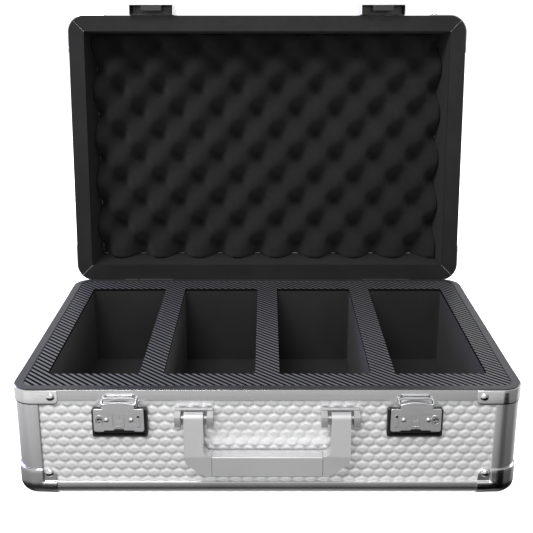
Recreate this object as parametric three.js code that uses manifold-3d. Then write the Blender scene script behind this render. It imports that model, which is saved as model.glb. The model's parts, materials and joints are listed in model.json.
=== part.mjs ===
// Aluminium attache case with a four-slot insert, an egg-crate lined lid, two lever latches and a handle.
//
// Frame, in millimetres: +X to the right, +Y to the hinges, +Z up. The origin is the centre of the base's
// underside. The lid stands open at its stop. Hardware on the front face is drawn with p, the distance that
// it stands proud of the base's front face, in place of Y.

import * as THREE from 'three';
import { mergeVertices } from 'three/addons/utils/BufferGeometryUtils.js';
import Module from 'manifold-3d';

const wasm = await Module();
wasm.setup();

// Case
const CASE_W = 480;
const CASE_D = 325;
const CORNER_R = 20;
const BASE_H = 110;
const LID_H = 87;
const OPEN_DEG = 96;
const GAP = 0.3;

// Shell: edge profiles, corner posts and panels
const SKIN = 1.5;
const RIM_RAIL_H = 11.1;
const END_RAIL_H = 13.2;
const END_FLANGE_W = 12;
const BASE_RIM_FLANGE_W = 8.2;
const LID_RIM_FLANGE_W = 18.5;
const POST_LEG = 25.5;
const PANEL_INSET = SKIN + GAP;
const PANEL_T = 4;
const INNER_INSET = PANEL_INSET + PANEL_T + GAP;

// Rim strips and the meeting faces of base and lid
const TRIM_W = 8.5;
const TRIM_GAP = 0.1;
const TRIM_T = 0.9;
const BAND_W = 18.8;
const BAND_GAP = 0.3;
const BAND_T = 0.7;
const CLOSED_GAP = 0.5;
const RIM_Z = BASE_H + TRIM_GAP + TRIM_T;
const LID_RIM_Z = RIM_Z + CLOSED_GAP + BAND_T + BAND_GAP;

// Ball corners
const GUARD_GAP = 0.2;
const GUARD_T = 1.2;
const GUARD_LEG = 38;
const GUARD_H = 27;
const RIVET_R = 4;
const RIVET_H = 1.6;
const RIVET_SINK = 0.1;
const RIVET_FROM_CORNER = 31;
const RIVET_FROM_END = 22.6;

// Insert: deck plate and foam tray
const SLOT_COUNT = 4;
const SLOT_W = 88.7;
const SLOT_L = 253;
const SLOT_WEB = 23.5;
const SLOT_R = 3;
const SLOT_FLOOR_Z = 16.5;
const DECK_T = 3;
const DECK_SINK = 0.3;
const TRAY_R = 13.8;

// Lid lining and foam; the foam's hill tops are this far below the lid's rim
const LINING_INSET = 18.8;
const FOAM_DEPTH = 40;

// Hinges, on the rear face
const HINGE_X = 150;
const HINGE_LENGTH = 60;
const HINGE_Y = CASE_D / 2 + 0.7;
const HINGE_Z = RIM_Z - 2.2;
const KNUCKLE_R = 1.9;
const HINGE_BORE_R = 1.05;
const HINGE_PIN_R = 0.95;
const LEAF_T = 1;
const LEAF_H = 28;
const LID_KNUCKLE_LENGTH = 23;
const STOP_REACH = 8;
const STOP_INSET = 3;

// Latches: heights are above the underside
const LATCH_X = 138.5;
const LATCH_TRAY = { w: 52, low: 63.6, high: 92.4, back: -1.5, floor: -0.3, front: 4, wall: 2.2 };
const LATCH_PIVOT = { p: 5.9, z: 98 };
const LEVER = { w: 47, low: 71.4, shoulder: 94.4, back: 5.6, front: 8.6, skin: 1.2 };
const LEVER_STEPS = { rise: 1.3, outerX: 14.6, innerX: 5.2, ramp: 0.9 };
const LEVER_NECK = { w: 29.8, archSide: 98.6, archTop: 101.2 };
const LEVER_RIVET = { x: 11.5, z: 83.5, r: 2.4, h: 1.2 };
const BRACKET = { w: 33, low: 92.9, high: 101.3, back: 0.3, front: 7, t: 0.8, ear: 1.2 };
const LATCH_PIN_R = 1;
const LATCH_PIN_HOLE_R = 1.3;
const CLAW = { w: 24, low: 84, high: 103.6, back: 1.4, t: 0.8, lipFront: 4.5 };
const PLUG = { x: 18, z: 83, r: 3.1, holeR: 3.4, back: 5, front: 9 };
const KEYWAY = { w: 0.8, h: 4.4, depth: 1.5 };

// Lid catches, in the closed position
const CATCH = {
  w: 54, low: 101.7, high: 150, wall: 1.2, front: 12.7, slopeZ: 128, tip: 2, pocketZ: 126, backLow: 114,
};
const TONGUE = { w: 25, clear: 0.4 };

// Handle
const HANDLE_BRACKET_X = 68.6;
const HANDLE_BRACKET = { w: 36.4, ear: 6, low: 74, high: 92, back: -1.5, plate: 1.2, front: 11 };
const HANDLE_EAR = { toe: 3, chin: 1.5, nose: 11.5, brow: 5 };
const HANDLE_ROOF = { p: 3, t: 1.4 };
const HANDLE_PIVOT = { p: 6, z: 84.8 };
const HANDLE_PIN_R = 1.8;
const HANDLE_HOLE_R = 2.1;
const ARM = { outerX: 78, innerX: 59.7, seamX: 52.15, low: 27.5, gripTop: 49, endR: 5.5, chamfer: 4.5 };
const ARM_BEND = { x: 20.5, z: 15.5, ease: 5 };
const GRIP = { back: 1.8, front: 16, chamfer: 1.5 };

const MATERIALS = {
  panel: new THREE.MeshStandardMaterial({ color: 0xd6d7d8, roughness: 0.42, metalness: 0.85 }),
  profile: new THREE.MeshStandardMaterial({ color: 0xb4b5b7, roughness: 0.34, metalness: 0.95 }),
  steel: new THREE.MeshStandardMaterial({ color: 0xc4c5c7, roughness: 0.18, metalness: 1 }),
  handle: new THREE.MeshStandardMaterial({ color: 0xb9babb, roughness: 0.4, metalness: 0.3 }),
  trim: new THREE.MeshStandardMaterial({ color: 0x2c2d2f, roughness: 0.6, metalness: 0 }),
  tray: new THREE.MeshStandardMaterial({ color: 0x101011, roughness: 0.55, metalness: 0 }),
  deck: new THREE.MeshStandardMaterial({ color: 0x3a3b40, roughness: 0.35, metalness: 0.1 }),
  foam: new THREE.MeshStandardMaterial({ color: 0x1b1b1c, roughness: 0.95, metalness: 0 }),
};

// ---------------------------------------------------------------- solids

const ARC_STEPS = 4;
const ROUND_STEPS = 20;
const PIN_STEPS = 16;
const RIVET_STEPS = 14;
const WELD = 1e-4;
const SHARPEST_R = 1;

// A cutter runs this far past what it cuts, and joined pieces reach this far into each other
const PAST = 2;
const UP = new THREE.Matrix4();
const OUT_OF_FRONT = new THREE.Matrix4().makeBasis(
  new THREE.Vector3(1, 0, 0), new THREE.Vector3(0, 0, 1), new THREE.Vector3(0, -1, 0));
const ACROSS_FRONT = new THREE.Matrix4().makeBasis(
  new THREE.Vector3(0, -1, 0), new THREE.Vector3(0, 0, 1), new THREE.Vector3(-1, 0, 0));

function toSolid(geometry) {
  geometry.deleteAttribute('normal');
  geometry.deleteAttribute('uv');
  const welded = mergeVertices(geometry, WELD);
  const mesh = new wasm.Mesh({
    numProp: 3,
    vertProperties: new Float32Array(welded.attributes.position.array),
    triVerts: new Uint32Array(welded.index.array),
  });
  return new wasm.Manifold(mesh);
}

function toGeometry(solid) {
  const mesh = solid.getMesh();
  const geometry = new THREE.BufferGeometry();
  geometry.setAttribute('position', new THREE.BufferAttribute(mesh.vertProperties, 3));
  geometry.setIndex(new THREE.BufferAttribute(mesh.triVerts, 1));
  geometry.computeVertexNormals();
  return geometry;
}

function join(first, ...others) {
  return others.reduce((sum, solid) => sum.add(solid), first);
}

function cut(first, ...others) {
  return others.reduce((rest, solid) => rest.subtract(solid), first);
}

function prism(shape, from, to, basis) {
  const geometry = new THREE.ExtrudeGeometry(shape, {
    depth: to - from,
    bevelEnabled: false,
    curveSegments: ARC_STEPS,
  });
  geometry.translate(0, 0, from);
  geometry.applyMatrix4(basis);
  return toSolid(geometry);
}

// An outline in X and Y, raised from z = from to z = to
const raised = (shape, from, to) => prism(shape, from, to, UP);

// An outline in X and Z, standing out of the front face from p = from to p = to
const standing = (shape, from, to) => prism(shape, from, to, OUT_OF_FRONT);

// An outline in p and Z, running across the front face from x = from to x = to
const across = (shape, from, to) => prism(shape, -to, -from, ACROSS_FRONT);

function polygon(points) {
  return new THREE.Shape(points.map(([a, b]) => new THREE.Vector2(a, b)));
}

function rectangle(a0, a1, b0, b1) {
  return polygon([[a0, b0], [a1, b0], [a1, b1], [a0, b1]]);
}

function roundedRectangle(width, depth, radius, x = 0, y = 0, Kind = THREE.Shape) {
  const dx = width / 2 - radius;
  const dy = depth / 2 - radius;
  const shape = new Kind();
  shape.absarc(x + dx, y - dy, radius, -Math.PI / 2, 0, false);
  shape.absarc(x + dx, y + dy, radius, 0, Math.PI / 2, false);
  shape.absarc(x - dx, y + dy, radius, Math.PI / 2, Math.PI, false);
  shape.absarc(x - dx, y - dy, radius, Math.PI, 1.5 * Math.PI, false);
  shape.closePath();
  return shape;
}

// The case's outline in plan, moved inwards by inset
function outline(inset, Kind = THREE.Shape) {
  const radius = Math.max(CORNER_R - inset, SHARPEST_R);
  return roundedRectangle(CASE_W - 2 * inset, CASE_D - 2 * inset, radius, 0, 0, Kind);
}

function ring(outerInset, innerInset, from, to) {
  const shape = outline(outerInset);
  shape.holes.push(outline(innerInset, THREE.Path));
  return raised(shape, from, to);
}

function box(x0, x1, y0, y1, z0, z1) {
  return raised(rectangle(x0, x1, y0, y1), z0, z1);
}

// A box on the front face, centred on x = 0
function frontBox(width, p0, p1, z0, z1) {
  return standing(rectangle(-width / 2, width / 2, z0, z1), p0, p1);
}

function rodAcross(radius, x0, x1, p, z, steps = ROUND_STEPS) {
  const geometry = new THREE.CylinderGeometry(radius, radius, x1 - x0, steps);
  geometry.rotateZ(Math.PI / 2);
  geometry.translate((x0 + x1) / 2, -p, z);
  return toSolid(geometry);
}

// A round stud that stands out of the front face, narrowing to topRadius
function stud(radius, topRadius, p0, p1, x, z, steps = ROUND_STEPS) {
  const geometry = new THREE.CylinderGeometry(topRadius, radius, p1 - p0, steps);
  geometry.rotateX(Math.PI);
  geometry.translate(x, -(p0 + p1) / 2, z);
  return toSolid(geometry);
}

function part(parent, name, solid, material) {
  const mesh = new THREE.Mesh(toGeometry(solid), material);
  mesh.name = name;
  parent.add(mesh);
  return mesh;
}

// ---------------------------------------------------------------- shell of base or lid

const LEFT_RIGHT = [['left', -1], ['right', 1]];

// One corner's skin of a rounded outline: its two legs and the arc between them
function cornerSkin(sx, sy, outerInset, innerInset, leg, from, to) {
  const x = sx * CASE_W / 2;
  const y = sy * CASE_D / 2;
  const reach = box(Math.min(x - sx * leg, x + sx * leg), Math.max(x - sx * leg, x + sx * leg),
    Math.min(y - sy * leg, y + sy * leg), Math.max(y - sy * leg, y + sy * leg), from, to);
  return ring(outerInset, innerInset, from, to).intersect(reach);
}

function ballCorner(sx, sy, endZ) {
  const outer = -(GUARD_GAP + GUARD_T);
  const walls = cornerSkin(sx, sy, outer, -GUARD_GAP, GUARD_LEG, endZ - GUARD_GAP - GUARD_T, endZ + GUARD_H);
  const under = ring(outer, END_FLANGE_W, endZ - GUARD_GAP - GUARD_T, endZ - GUARD_GAP);
  const x = sx * CASE_W / 2;
  const y = sy * CASE_D / 2;
  const toe = raised(polygon([
    [x + sx * PAST, y + sy * PAST],
    [x - sx * GUARD_LEG, y + sy * PAST],
    [x - sx * GUARD_LEG, y - sy * CORNER_R / 2],
    [x - sx * CORNER_R / 2, y - sy * GUARD_LEG],
    [x + sx * PAST, y - sy * GUARD_LEG],
  ]), endZ - PAST, endZ);
  const proud = -outer - RIVET_SINK;
  const rivetZ = endZ + RIVET_FROM_END;
  const frontRivet = stud(RIVET_R, RIVET_R / 2, 0, RIVET_H, 0, 0, RIVET_STEPS);
  const onFront = frontRivet.rotate([0, 0, sy < 0 ? 0 : 180])
    .translate([x - sx * RIVET_FROM_CORNER, y + sy * proud, rivetZ]);
  const onSide = frontRivet.rotate([0, 0, sx * 90])
    .translate([x + sx * proud, y - sy * RIVET_FROM_CORNER, rivetZ]);
  return join(walls, under.intersect(toe), onFront, onSide);
}

// Edge profiles, posts, panels and ball corners of one half of the case. Its open rim is at z = 0 and its
// closed end at z = -height. sideOf names the side that faces local -Y and +Y.
function shell(prefix, height, rimFlange, sideOf, notches) {
  const group = new THREE.Group();
  const end = -height;
  const rimProfile = join(ring(0, SKIN, -RIM_RAIL_H, 0), ring(0, rimFlange, -SKIN, 0));
  part(group, `${prefix}_rim_profile`, cut(rimProfile, ...notches), MATERIALS.profile);
  const endProfile = join(ring(0, SKIN, end, end + END_RAIL_H), ring(0, END_FLANGE_W, end, end + SKIN));
  part(group, `${prefix}_end_profile`, endProfile, MATERIALS.profile);

  const postLow = end + END_RAIL_H + GAP;
  const postHigh = -RIM_RAIL_H - GAP;
  for (const sy of [-1, 1]) {
    for (const [side, sx] of LEFT_RIGHT) {
      const corner = `${sideOf(sy)}_${side}`;
      const post = cornerSkin(sx, sy, 0, SKIN, POST_LEG, postLow, postHigh);
      part(group, `${prefix}_corner_post_${corner}`, post, MATERIALS.profile);
      part(group, `${prefix}_ball_corner_${corner}`, ballCorner(sx, sy, end), MATERIALS.steel);
    }
  }

  const panelLow = end + SKIN + GAP;
  const panelHigh = -SKIN - GAP;
  const halfW = CASE_W / 2 - CORNER_R;
  const halfD = CASE_D / 2 - CORNER_R;
  const outerX = CASE_W / 2 - PANEL_INSET;
  const outerY = CASE_D / 2 - PANEL_INSET;
  for (const sy of [-1, 1]) {
    const faces = [sy * outerY, sy * (outerY - PANEL_T)];
    const panel = box(-halfW, halfW, Math.min(...faces), Math.max(...faces), panelLow, panelHigh);
    part(group, `${prefix}_${sideOf(sy)}_panel`, cut(panel, ...notches), MATERIALS.panel);
  }
  for (const [side, sx] of LEFT_RIGHT) {
    const faces = [sx * outerX, sx * (outerX - PANEL_T)];
    const panel = box(Math.min(...faces), Math.max(...faces), -halfD, halfD, panelLow, panelHigh);
    part(group, `${prefix}_${side}_panel`, panel, MATERIALS.panel);
  }
  const endPanel = raised(outline(END_FLANGE_W + GAP), end, end + PANEL_T);
  part(group, `${prefix}_end_panel`, endPanel, MATERIALS.panel);
  return group;
}

// ---------------------------------------------------------------- base and insert

function hingeNotch(x, low, high) {
  const half = HINGE_LENGTH / 2 + GAP;
  const inner = HINGE_Y - KNUCKLE_R - GAP;
  return box(x - half, x + half, inner, CASE_D / 2 + PAST, low, high);
}

function hingeNotches(low, high) {
  return LEFT_RIGHT.map(([, sx]) => hingeNotch(sx * HINGE_X, low, high));
}

function buildBase() {
  const base = new THREE.Group();
  const knuckleLow = HINGE_Z - KNUCKLE_R - GAP;
  const shellNotches = hingeNotches(knuckleLow - BASE_H, PAST);
  const half = shell('base', BASE_H, BASE_RIM_FLANGE_W, (sy) => (sy < 0 ? 'front' : 'rear'), shellNotches);
  half.position.z = BASE_H;
  base.add(half);

  const trim = ring(0, TRIM_W, BASE_H + TRIM_GAP, RIM_Z);
  part(base, 'base_rim_trim', cut(trim, ...hingeNotches(BASE_H, RIM_Z + PAST)), MATERIALS.trim);

  const slotPitch = SLOT_W + SLOT_WEB;
  const slotX = Array.from({ length: SLOT_COUNT }, (_, i) => (i - (SLOT_COUNT - 1) / 2) * slotPitch);
  const deckTop = RIM_Z - DECK_SINK;
  const deckShape = outline(TRIM_W + GAP);
  deckShape.holes = slotX.map((x) => roundedRectangle(SLOT_W, SLOT_L, SLOT_R, x, 0, THREE.Path));
  part(base, 'deck_plate', raised(deckShape, deckTop - DECK_T, deckTop), MATERIALS.deck);

  const trayTop = deckTop - DECK_T - TRIM_GAP;
  const trayW = CASE_W - 2 * INNER_INSET;
  const trayD = CASE_D - 2 * INNER_INSET;
  const block = raised(roundedRectangle(trayW, trayD, TRAY_R), PANEL_T + GAP, trayTop);
  const pockets = slotX.map((x) => {
    const pocket = roundedRectangle(SLOT_W, SLOT_L, SLOT_R, x);
    return raised(pocket, SLOT_FLOOR_Z, trayTop + PAST);
  });
  part(base, 'foam_tray', cut(block, ...pockets), MATERIALS.foam);
  return base;
}

// ---------------------------------------------------------------- hinges

// Everything about a hinge is drawn about its axis, with the leaf behind the rear face
function knuckle(length, x) {
  const barrel = rodAcross(KNUCKLE_R, x - length / 2, x + length / 2, 0, 0, PIN_STEPS);
  return barrel.translate([0, HINGE_Y, HINGE_Z]);
}

function hingeBore() {
  const bore = rodAcross(HINGE_BORE_R, -HINGE_LENGTH, HINGE_LENGTH, 0, 0, PIN_STEPS);
  return bore.translate([0, HINGE_Y, HINGE_Z]);
}

function leafPlate(x0, x1, z0, z1) {
  const y0 = CASE_D / 2 + GAP;
  return box(x0, x1, y0, y0 + LEAF_T, z0, z1);
}

function baseLeaf() {
  const half = HINGE_LENGTH / 2;
  const inner = LID_KNUCKLE_LENGTH / 2 + GAP;
  const stopTop = HINGE_Z - KNUCKLE_R - 2 * GAP;
  const stopY = CASE_D / 2 + GAP;
  const pieces = [leafPlate(-half, half, HINGE_Z - LEAF_H, HINGE_Z - KNUCKLE_R - GAP)];
  for (const sx of [-1, 1]) {
    const ends = [sx * inner, sx * half];
    const [x0, x1] = [Math.min(...ends), Math.max(...ends)];
    pieces.push(knuckle(x1 - x0, (x0 + x1) / 2));
    pieces.push(leafPlate(x0, x1, HINGE_Z - KNUCKLE_R - GAP - PAST, HINGE_Z));
    pieces.push(box(x0 + STOP_INSET, x1 - STOP_INSET, stopY, stopY + STOP_REACH, stopTop - LEAF_T, stopTop));
  }
  return cut(join(...pieces), hingeBore());
}

function lidLeaf() {
  const half = HINGE_LENGTH / 2;
  const inner = LID_KNUCKLE_LENGTH / 2;
  const plate = leafPlate(-half, half, HINGE_Z + KNUCKLE_R + GAP, HINGE_Z + LEAF_H);
  const strap = leafPlate(-inner, inner, HINGE_Z, HINGE_Z + KNUCKLE_R + GAP + PAST);
  return cut(join(plate, strap, knuckle(LID_KNUCKLE_LENGTH, 0)), hingeBore());
}

function hingePin() {
  const half = HINGE_LENGTH / 2;
  return rodAcross(HINGE_PIN_R, -half, half, 0, 0, PIN_STEPS).translate([0, HINGE_Y, HINGE_Z]);
}

// ---------------------------------------------------------------- lid, in its closed position

function lidCatch() {
  const half = CATCH.w / 2;
  const body = across(polygon([
    [GAP, CATCH.low],
    [CATCH.front, CATCH.low],
    [CATCH.front, CATCH.slopeZ],
    [GAP + CATCH.tip, CATCH.high],
    [GAP, CATCH.high],
  ]), -half, half);
  const innerW = CATCH.w - 2 * CATCH.wall;
  const below = CATCH.low - PAST;
  const pocket = frontBox(innerW, GAP + CATCH.wall, CATCH.front - CATCH.wall, below, CATCH.pocketZ);
  const behind = frontBox(innerW, -PAST, GAP + CATCH.wall + PAST, below, CATCH.backLow);
  const tongueHigh = CLAW.high - CLAW.t - GAP;
  const tongue = frontBox(TONGUE.w, CLAW.lipFront + TONGUE.clear, CATCH.front - CATCH.wall / 2,
    tongueHigh - CLAW.t, tongueHigh);
  return join(cut(body, pocket, behind), tongue);
}

function buildLid() {
  const closed = new THREE.Group();
  const half = shell('lid', LID_H, LID_RIM_FLANGE_W, (sy) => (sy < 0 ? 'rear' : 'front'), []);
  half.rotation.x = Math.PI;
  half.position.z = LID_RIM_Z;
  closed.add(half);

  const bandLow = RIM_Z + CLOSED_GAP;
  part(closed, 'lid_rim_band', ring(0, BAND_W, bandLow, bandLow + BAND_T), MATERIALS.trim);

  const innerTop = LID_RIM_Z + LID_H - PANEL_T - GAP;
  const lining = raised(roundedRectangle(CASE_W - 2 * INNER_INSET, CASE_D - 2 * INNER_INSET, TRAY_R),
    LID_RIM_Z + SKIN + GAP, innerTop);
  const hollow = raised(outline(LINING_INSET), LID_RIM_Z, innerTop + PAST);
  part(closed, 'lid_lining', cut(lining, hollow), MATERIALS.foam);

  const foam = raised(outline(LINING_INSET + 2 * GAP), bandLow + FOAM_DEPTH, innerTop);
  part(closed, 'lid_foam', foam, MATERIALS.foam);

  for (const [side, sx] of LEFT_RIGHT) {
    const catchMesh = part(closed, `lid_catch_${side}`, lidCatch(), MATERIALS.steel);
    catchMesh.position.set(sx * LATCH_X, -CASE_D / 2, 0);
    part(closed, `hinge_lid_leaf_${side}`, lidLeaf(), MATERIALS.steel).position.x = sx * HINGE_X;
  }
  closed.position.set(0, -HINGE_Y, -HINGE_Z);

  const lid = new THREE.Group();
  lid.add(closed);
  lid.position.set(0, HINGE_Y, HINGE_Z);
  lid.rotation.x = THREE.MathUtils.degToRad(-OPEN_DEG);
  return lid;
}

// ---------------------------------------------------------------- latches

function latchTray() {
  const { w, low, high, back, floor, front, wall } = LATCH_TRAY;
  const outer = roundedRectangle(w, high - low, wall, 0, (low + high) / 2);
  const inner = roundedRectangle(w - 2 * wall, high - low - 2 * wall, wall / 2, 0, (low + high) / 2);
  const clawSlot = frontBox(CLAW.w + 4 * GAP, floor, front + PAST, high - wall - PAST, high + PAST);
  return cut(standing(outer, back, front), standing(inner, floor, front + PAST), clawSlot);
}

function latchBracket() {
  const { w, low, high, back, front, t, ear } = BRACKET;
  const plate = frontBox(w, back, back + t, low, high);
  const clearP = LEVER.back - 2 * GAP;
  const clearZ = LEVER.shoulder + 2 * GAP;
  const side = polygon([
    [back, low],
    [clearP, low],
    [clearP, clearZ],
    [front, clearZ],
    [front, high],
    [back, high],
  ]);
  const ears = [-1, 1].map((sx) => {
    const ends = [sx * w / 2, sx * (w / 2 - ear)];
    return across(side, Math.min(...ends), Math.max(...ends));
  });
  const pin = rodAcross(LATCH_PIN_R, -w / 2 + ear / 2, w / 2 - ear / 2, LATCH_PIVOT.p, LATCH_PIVOT.z,
    PIN_STEPS);
  return join(plate, ...ears, pin);
}

// The lever's plate: its lower edge rises to the middle in two steps
function leverOutline() {
  const { w, low, shoulder } = LEVER;
  const { rise, outerX, innerX, ramp } = LEVER_STEPS;
  const right = [
    [innerX - ramp, low + 2 * rise],
    [innerX, low + rise],
    [outerX - ramp, low + rise],
    [outerX, low],
    [w / 2, low],
    [w / 2, shoulder],
  ];
  const left = right.map(([x, z]) => [-x, z]).reverse();
  return polygon([...left, ...right]);
}

function latchLever(plugSide) {
  const { shoulder, back, front, skin } = LEVER;
  const { w, archSide, archTop } = LEVER_NECK;
  const neck = new THREE.Shape();
  neck.moveTo(-w / 2, shoulder - PAST);
  neck.lineTo(w / 2, shoulder - PAST);
  neck.lineTo(w / 2, archSide);
  neck.quadraticCurveTo(0, 2 * archTop - archSide, -w / 2, archSide);
  neck.closePath();
  const earBack = LATCH_PIVOT.p - LATCH_PIN_HOLE_R - GAP;
  const earSide = rectangle(earBack, front, shoulder - PAST, archSide);
  const ears = [-1, 1].map((sx) => {
    const ends = [sx * w / 2, sx * (w / 2 - skin)];
    return across(earSide, Math.min(...ends), Math.max(...ends));
  });
  const rivets = [-1, 1].map((sx) => stud(LEVER_RIVET.r, LEVER_RIVET.r / 2, front - RIVET_SINK,
    front + LEVER_RIVET.h, sx * LEVER_RIVET.x, LEVER_RIVET.z, RIVET_STEPS));
  const pinHole = rodAcross(LATCH_PIN_HOLE_R, -w, w, LATCH_PIVOT.p, LATCH_PIVOT.z, PIN_STEPS);
  const plugHole = stud(PLUG.holeR, PLUG.holeR, back - PAST, front + PAST, plugSide * PLUG.x, PLUG.z);
  const plate = join(standing(leverOutline(), back, front), standing(neck, front - skin, front));
  return cut(join(plate, ...ears, ...rivets), pinHole, plugHole);
}

function latchClaw() {
  const plate = frontBox(CLAW.w, CLAW.back, CLAW.back + CLAW.t, CLAW.low, CLAW.high);
  const lip = frontBox(CLAW.w, CLAW.back, CLAW.lipFront, CLAW.high - CLAW.t, CLAW.high);
  return join(plate, lip);
}

function latchPlug(plugSide) {
  const x = plugSide * PLUG.x;
  const plug = stud(PLUG.r, PLUG.r, PLUG.back, PLUG.front, x, PLUG.z);
  const { w, h, depth } = KEYWAY;
  const slit = rectangle(x - w / 2, x + w / 2, PLUG.z - h / 2, PLUG.z + h / 2);
  return cut(plug, standing(slit, PLUG.front - depth, PLUG.front + PAST));
}

function buildLatch(side, sx) {
  const latch = new THREE.Group();
  part(latch, `latch_tray_${side}`, latchTray(), MATERIALS.tray);
  part(latch, `latch_bracket_${side}`, latchBracket(), MATERIALS.steel);
  part(latch, `latch_lever_${side}`, latchLever(sx), MATERIALS.steel);
  part(latch, `latch_claw_${side}`, latchClaw(), MATERIALS.steel);
  part(latch, `latch_key_plug_${side}`, latchPlug(sx), MATERIALS.steel);
  latch.position.set(sx * LATCH_X, -CASE_D / 2, 0);
  return latch;
}

// ---------------------------------------------------------------- handle

function handleBracket() {
  const { w, ear, low, high, back, plate, front } = HANDLE_BRACKET;
  const { toe, chin, nose, brow } = HANDLE_EAR;
  const side = polygon([
    [back, low],
    [front - toe, low + chin],
    [front, high - nose],
    [front, high - brow],
    [back, high],
  ]);
  const ears = [-1, 1].map((sx) => {
    const ends = [sx * w / 2, sx * (w / 2 - ear)];
    return across(side, Math.min(...ends), Math.max(...ends));
  });
  const backPlate = frontBox(w, back, back + plate, low, high);
  const roof = frontBox(w, back, HANDLE_ROOF.p, high - HANDLE_ROOF.t, high);
  const pinHalf = w / 2 - ear / 2;
  const pin = rodAcross(HANDLE_PIN_R, -pinHalf, pinHalf, HANDLE_PIVOT.p, HANDLE_PIVOT.z, PIN_STEPS);
  return join(backPlate, roof, ...ears, pin);
}

// The arm seen from the side: round about its pin, deepening to the grip
function armSide() {
  const { p, z } = HANDLE_PIVOT;
  const shape = new THREE.Shape();
  shape.moveTo(GRIP.back + GRIP.chamfer, ARM.low);
  shape.lineTo(GRIP.front - GRIP.chamfer, ARM.low);
  shape.lineTo(GRIP.front, ARM.low + GRIP.chamfer);
  shape.lineTo(GRIP.front, ARM.gripTop);
  shape.absarc(p, z, ARM.endR, 0, Math.PI, false);
  shape.lineTo(GRIP.back, ARM.gripTop);
  shape.lineTo(GRIP.back, ARM.low + GRIP.chamfer);
  shape.closePath();
  return shape;
}

// The left arm seen from the front, with a chamfered inner corner and a broad eased outer one
function armFront() {
  const { outerX, innerX, seamX, low, gripTop, chamfer } = ARM;
  const top = HANDLE_PIVOT.z + ARM.endR + PAST;
  const slope = new THREE.Vector2(ARM_BEND.x, -ARM_BEND.z).setLength(ARM_BEND.ease);
  const bendZ = low + ARM_BEND.z;
  const bendX = -outerX + ARM_BEND.x;
  const shape = new THREE.Shape();
  shape.moveTo(-seamX, low);
  shape.lineTo(-seamX, gripTop);
  shape.lineTo(-innerX + chamfer, gripTop);
  shape.lineTo(-innerX, gripTop + chamfer);
  shape.lineTo(-innerX, top);
  shape.lineTo(-outerX, top);
  shape.lineTo(-outerX, bendZ + ARM_BEND.ease);
  shape.quadraticCurveTo(-outerX, bendZ, -outerX + slope.x, bendZ + slope.y);
  shape.lineTo(bendX - slope.x, low - slope.y);
  shape.quadraticCurveTo(bendX, low, bendX + ARM_BEND.ease, low);
  shape.closePath();
  return shape;
}

function handleArm() {
  const side = across(armSide(), -ARM.outerX, -ARM.seamX);
  const arm = standing(armFront(), -PAST, GRIP.front + PAST).intersect(side);
  const { p, z } = HANDLE_PIVOT;
  const hole = rodAcross(HANDLE_HOLE_R, -ARM.outerX - PAST, -ARM.seamX, p, z, PIN_STEPS);
  return cut(arm, hole);
}

function handleGrip() {
  const { back, front, chamfer } = GRIP;
  const { low, gripTop, seamX } = ARM;
  const section = polygon([
    [back + chamfer, low],
    [front - chamfer, low],
    [front, low + chamfer],
    [front, gripTop - chamfer / 2],
    [front - chamfer / 2, gripTop],
    [back + chamfer / 2, gripTop],
    [back, gripTop - chamfer / 2],
    [back, low + chamfer],
  ]);
  return across(section, -seamX + GAP, seamX - GAP);
}

function buildHandle() {
  const handle = new THREE.Group();
  for (const [side, sx] of LEFT_RIGHT) {
    const bracket = part(handle, `handle_bracket_${side}`, handleBracket(), MATERIALS.handle);
    bracket.position.x = sx * HANDLE_BRACKET_X;
    const arm = sx < 0 ? handleArm() : handleArm().mirror([1, 0, 0]);
    part(handle, `handle_arm_${side}`, arm, MATERIALS.handle);
  }
  part(handle, 'handle_grip', handleGrip(), MATERIALS.handle);
  handle.position.y = -CASE_D / 2;
  return handle;
}

// ---------------------------------------------------------------- the case

const attacheCase = new THREE.Group();
attacheCase.add(buildBase(), buildLid(), buildHandle());
for (const [side, sx] of LEFT_RIGHT) {
  attacheCase.add(buildLatch(side, sx));
  part(attacheCase, `hinge_base_leaf_${side}`, baseLeaf(), MATERIALS.steel).position.x = sx * HINGE_X;
  part(attacheCase, `hinge_pin_${side}`, hingePin(), MATERIALS.steel).position.x = sx * HINGE_X;
}

export default attacheCase;
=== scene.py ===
# Looks of an aluminium attache case with its lid open: embossed panels, aluminium edge profiles, pressed
# steel corner guards, lever latches, a folding handle, a slotted insert and an egg-crate lined lid.
#
# Sizes are in millimetres, and a mesh is scaled to metres when it is made. Lid pieces are drawn with the
# lid closed and then opened about the hinge. On the front face, p is how far a point stands proud of it.

import json
from math import ceil, copysign, cos, pi, radians, sin, sqrt
from types import SimpleNamespace

import bmesh
import bpy
from mathutils import Matrix, Vector, noise


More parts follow.
